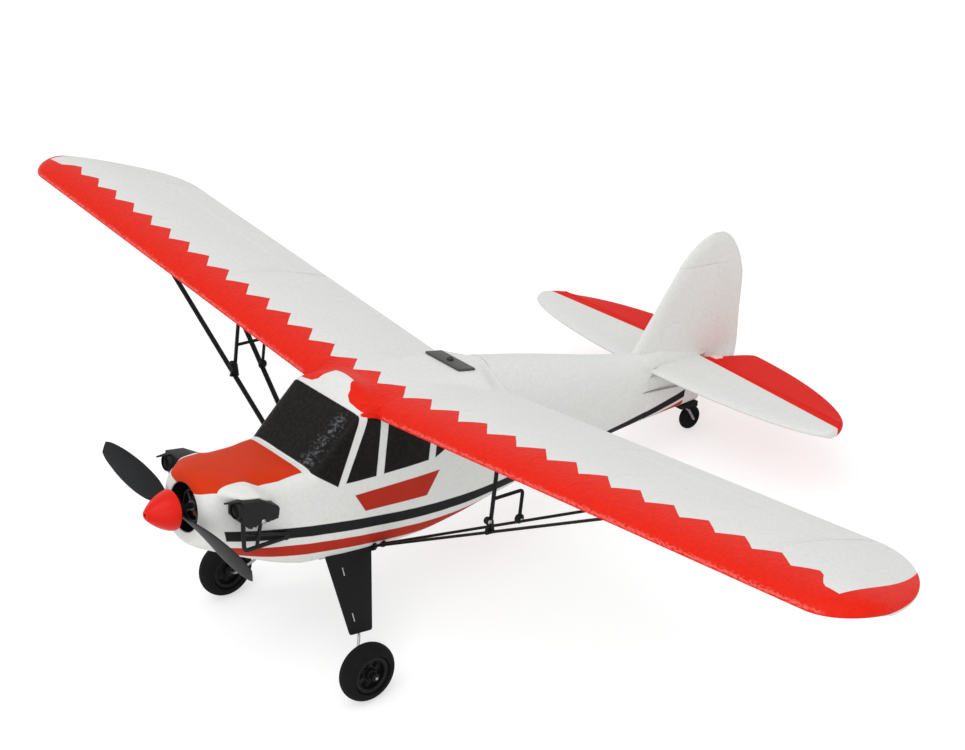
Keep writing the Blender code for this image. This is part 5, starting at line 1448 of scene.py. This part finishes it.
def make_engine(label, side):
    """Dummy cylinder block with its open barrel, front spike and cooling teeth."""
    front, rear = ENGINE_FRONT_Y, ENGINE_FRONT_Y + ENGINE_LENGTH
    top, low = ENGINE_TOP_Z, ENGINE_TOP_Z - ENGINE_HEIGHT
    inner, outer = 0.030, ENGINE_OUTER
    chin, heel, lowest = 0.0085, 0.005, ENGINE_LENGTH * 0.25
    side_view = [(front + 0.002, top - 0.0006), (front + ENGINE_LENGTH / 2, top - 0.0016),
                 (rear - 0.0015, top - 0.0096), (rear, top - 0.0118), (rear, low + heel + 0.001),
                 (rear - 0.003, low + heel - 0.0016), (front + lowest, low), (front + 0.002, low + chin - 0.0015)]
    body = plate([(0, y, z) for y, z in side_view], outer - inner, X_AXIS, (inner + outer) / 2, 0.0007)
    spike = plate([(outer - 0.0090, front + 0.006, 0), (outer - 0.0030, front + 0.006, 0),
                   (outer - 0.0050, front - 0.002, 0), (0.0508, front - 0.011, 0), (0.0496, front - 0.011, 0)],
                  0.0011, Z_AXIS, top - 0.0014, 0.0002)
    barrel_at = (outer - 0.0068, front + 0.001, top - 0.0092)
    barrel = turned([(0.0060, -0.0024), (0.0068, -0.0022), (0.0072, -0.0014), (0.0072, 0.012), (0, 0.012), (0, 0.006),
                     (0.0040, 0.006), (0.0046, 0.0044), (0.0040, 0.0034), (0.0050, 0.0018), (0.0044, 0.0006),
                     (0.0054, -0.0010)], barrel_at, Y_AXIS, 40)
    teeth = []
    for t in spread(0.10, 0.95, 7):
        spot = Vector((0, front + lowest, low)).lerp(Vector((0, rear, low + heel)), t)
        teeth.append(block((inner + 0.004, spot.y - 0.0011, spot.z - 0.0012),
                           (outer - 0.0004, spot.y + 0.0011, spot.z + 0.003), 0.0003))
    add(f"engine_block_{label}", on_side(together(body, spike, barrel, *teeth), side), BLACK_PLASTIC,
        f"dummy_engine_{label}")
    make_exhaust(label, side, front, rear, low)


def make_exhaust(label, side, front, rear, low):
    """Bent frame under the engine: front post, lower rail, sloping upper rail and a screwed middle post."""
    x, bottom = ENGINE_OUTER - 2 * PIPE_RADIUS, low - PIPE_DROP
    end_y = rear + PIPE_REACH
    tail = row_at(NOSE_ROWS, end_y)
    depth = (bottom - tail.mid) / (tail.bottom - tail.mid)
    end_x = tail.half * (1 - min(depth, 1) ** tail.bottom_power) ** (1 / tail.bottom_power) + RUN + PIPE_RADIUS
    corner, end = Vector((x, front + 0.0095, bottom)), Vector((end_x, end_y, bottom))
    line = rounded([(x, front + 0.0058, low + 0.007), corner, end], 0.0045, 6)
    rail = [(x, front + 0.0068, bottom + 0.0155), end + Vector((0.0003, -0.0035, 0.0032))]
    post_y = front + ENGINE_LENGTH * POST_SHARE
    on_rail = corner.lerp(end, (post_y - corner.y) / (end.y - corner.y))
    post = [on_rail, (x + 0.001, post_y, low + 0.004)]
    eye = button(0.0034, 0.0030, 0.0016, end + Vector((0.0003, -0.001, 0.0012)), X_AXIS)
    lug = button(0.0030, 0.0027, 0.0022, (x + 0.0018, post_y, low + 0.004), X_AXIS)
    bars = [wire(points, PIPE_RADIUS * share, sides)
            for points, share, sides in ((line, 0.86, 14), (rail, 0.62, 12), (post, 0.72, 12))]
    add(f"exhaust_frame_{label}", on_side(together(*bars, eye, lug), side), BLACK_PLASTIC, f"exhaust_{label}")
    screw = turned([(0, 0), (0.0021, 0), (0.0021, 0.0010), (0.0014, 0.0018), (0, 0.0019)],
                   (x + 0.0038, post_y, low + 0.004), X_AXIS, 16)
    add(f"exhaust_screw_{label}", on_side(screw, side), SCREW_STEEL)


# Finishes of the plain nodes that stay

def dress_nodes():
    finishes = {
        WHITE_PLASTIC: ["aileron_horn_left", "aileron_horn_right", "aileron_arm_left", "aileron_arm_right",
                        "elevator_horn", "rudder_horn", "rudder_arm", "elevator_arm"],
        SERVO_BLUE: ["aileron_servo_left", "aileron_servo_right", "rudder_servo", "elevator_servo"],
        STEEL: ["aileron_rod_left", "aileron_rod_right", "elevator_joiner", "rudder_pushrod", "elevator_pushrod",
                "tail_wheel_leg"],
        HUB_PLASTIC: ["wheel_collar_left", "wheel_collar_right"],
        PLYWOOD: ["motor_mount", "servo_tray"], LAMINATE: ["control_board"], BATTERY_WRAP: ["battery"],
        MATT_BLACK: ["tail_wheel_bracket"]}
    for finish, names in finishes.items():
        for name in names:
            node = frame["nodes"][name]
            for entry in node.material_slots:
                entry.material = finish


# Studio

CAMERA_AZIMUTH = radians(48.34)     # measured in aircraft axes
CAMERA_HEIGHT = radians(20.64)
CAMERA_ROLL = radians(6.61)
CAMERA_PLACE = (0.11444, 0.03045, 1.83025)   # right, up and back of the origin
FOCAL_PIXELS = 2194.94
FRAME_PIXELS = (965, 750)
OPTIC_PIXELS = (478.89, 365.15)


def place_camera():
    azimuth, height, roll = CAMERA_AZIMUTH, CAMERA_HEIGHT, CAMERA_ROLL
    back = Vector((sin(azimuth) * cos(height), -cos(azimuth) * cos(height), sin(height)))
    flat = Vector((cos(azimuth), sin(azimuth), 0))
    rise = back.cross(flat)
    right = flat * cos(roll) + rise * sin(roll)
    up = rise * cos(roll) - flat * sin(roll)
    spot = right * CAMERA_PLACE[0] + up * CAMERA_PLACE[1] + back * CAMERA_PLACE[2]
    data = bpy.data.cameras.new("camera")
    data.sensor_width = 36
    data.lens = FOCAL_PIXELS * data.sensor_width / FRAME_PIXELS[0]
    data.shift_x = (FRAME_PIXELS[0] / 2 - OPTIC_PIXELS[0]) / FRAME_PIXELS[0]
    data.shift_y = (OPTIC_PIXELS[1] - FRAME_PIXELS[1] / 2) / FRAME_PIXELS[0]
    data.clip_end = 200
    camera = placed("camera", data)
    pose = Matrix((right, up, back)).transposed().to_4x4()
    pose.translation = spot
    camera.matrix_world = STAND @ pose
    bpy.context.scene.camera = camera


AMBIENT = 0.80
LAMPS = (("softbox", 22, 2.4, (0.5, -1.1, 2.6)), ("fill", 10, 2.0, (2.2, -1.6, 1.2)))    # watts, size and place
LAMP_AIM = Vector((0, 0, 0.12))
FLOOR_SHADE = 0.90
FLOOR_SEEN = 0.55        # of the floor's shade in the picture, which its lift makes white outside the shadow
FLOOR_LIFT = 0.56


def light_studio():
    world = bpy.data.worlds.new("studio")
    bpy.context.scene.world = world
    world.use_nodes = True
    tree = world.node_tree
    sky = tree.nodes["Background"]
    path = tree.nodes.new("ShaderNodeLightPath")
    seen = Term(tree, path.outputs["Is Camera Ray"]).most(Term(tree, path.outputs["Is Glossy Ray"])).most(
        Term(tree, path.outputs["Is Transmission Ray"]))
    feed(tree, sky.inputs["Strength"], seen * (1 - AMBIENT) + AMBIENT)
    sky.inputs["Color"].default_value = (1, 1, 1, 1)
    for name, watts, size, spot in LAMPS:
        data = bpy.data.lights.new(name, "AREA")
        data.energy, data.size, data.shape = watts, size, "DISK"
        lamp = placed(name, data)
        lamp.location = spot
        lamp.rotation_euler = (LAMP_AIM - Vector(spot)).to_track_quat("-Z", "Y").to_euler()
    shape = bmesh.new()
    bmesh.ops.create_circle(shape, cap_ends=True, radius=40, segments=64)
    mesh = mesh_of("floor", shape)
    finish = bpy.data.materials.new("pale_floor")
    finish.use_nodes = True
    tree = finish.node_tree
    shader = tree.nodes["Principled BSDF"]
    shader.inputs["Roughness"].default_value = 0.9
    shader.inputs["Specular IOR Level"].default_value = 0.0
    shader.inputs["Emission Strength"].default_value = FLOOR_LIFT
    path = tree.nodes.new("ShaderNodeLightPath")
    seen = Term(tree, path.outputs["Is Camera Ray"])
    feed(tree, shader.inputs["Emission Color"], seen)
    feed(tree, shader.inputs["Base Color"], seen * (FLOOR_SEEN - FLOOR_SHADE) + FLOOR_SHADE)
    mesh.materials.append(finish)
    floor = placed("floor", mesh)
    bpy.context.scene.view_settings.view_transform = "Standard"


place_camera()
light_studio()
make_wing()
make_hold_plate()
make_fuselage()
make_tailplane()
make_fin()
make_tail_fairing()
make_gear()
make_tail_wheel()
make_propeller()
make_spinner()
make_motor()
for label, side in SIDES:
    make_aileron(label, side)
    make_struts(label, side)
    make_engine(label, side)
dress_nodes()
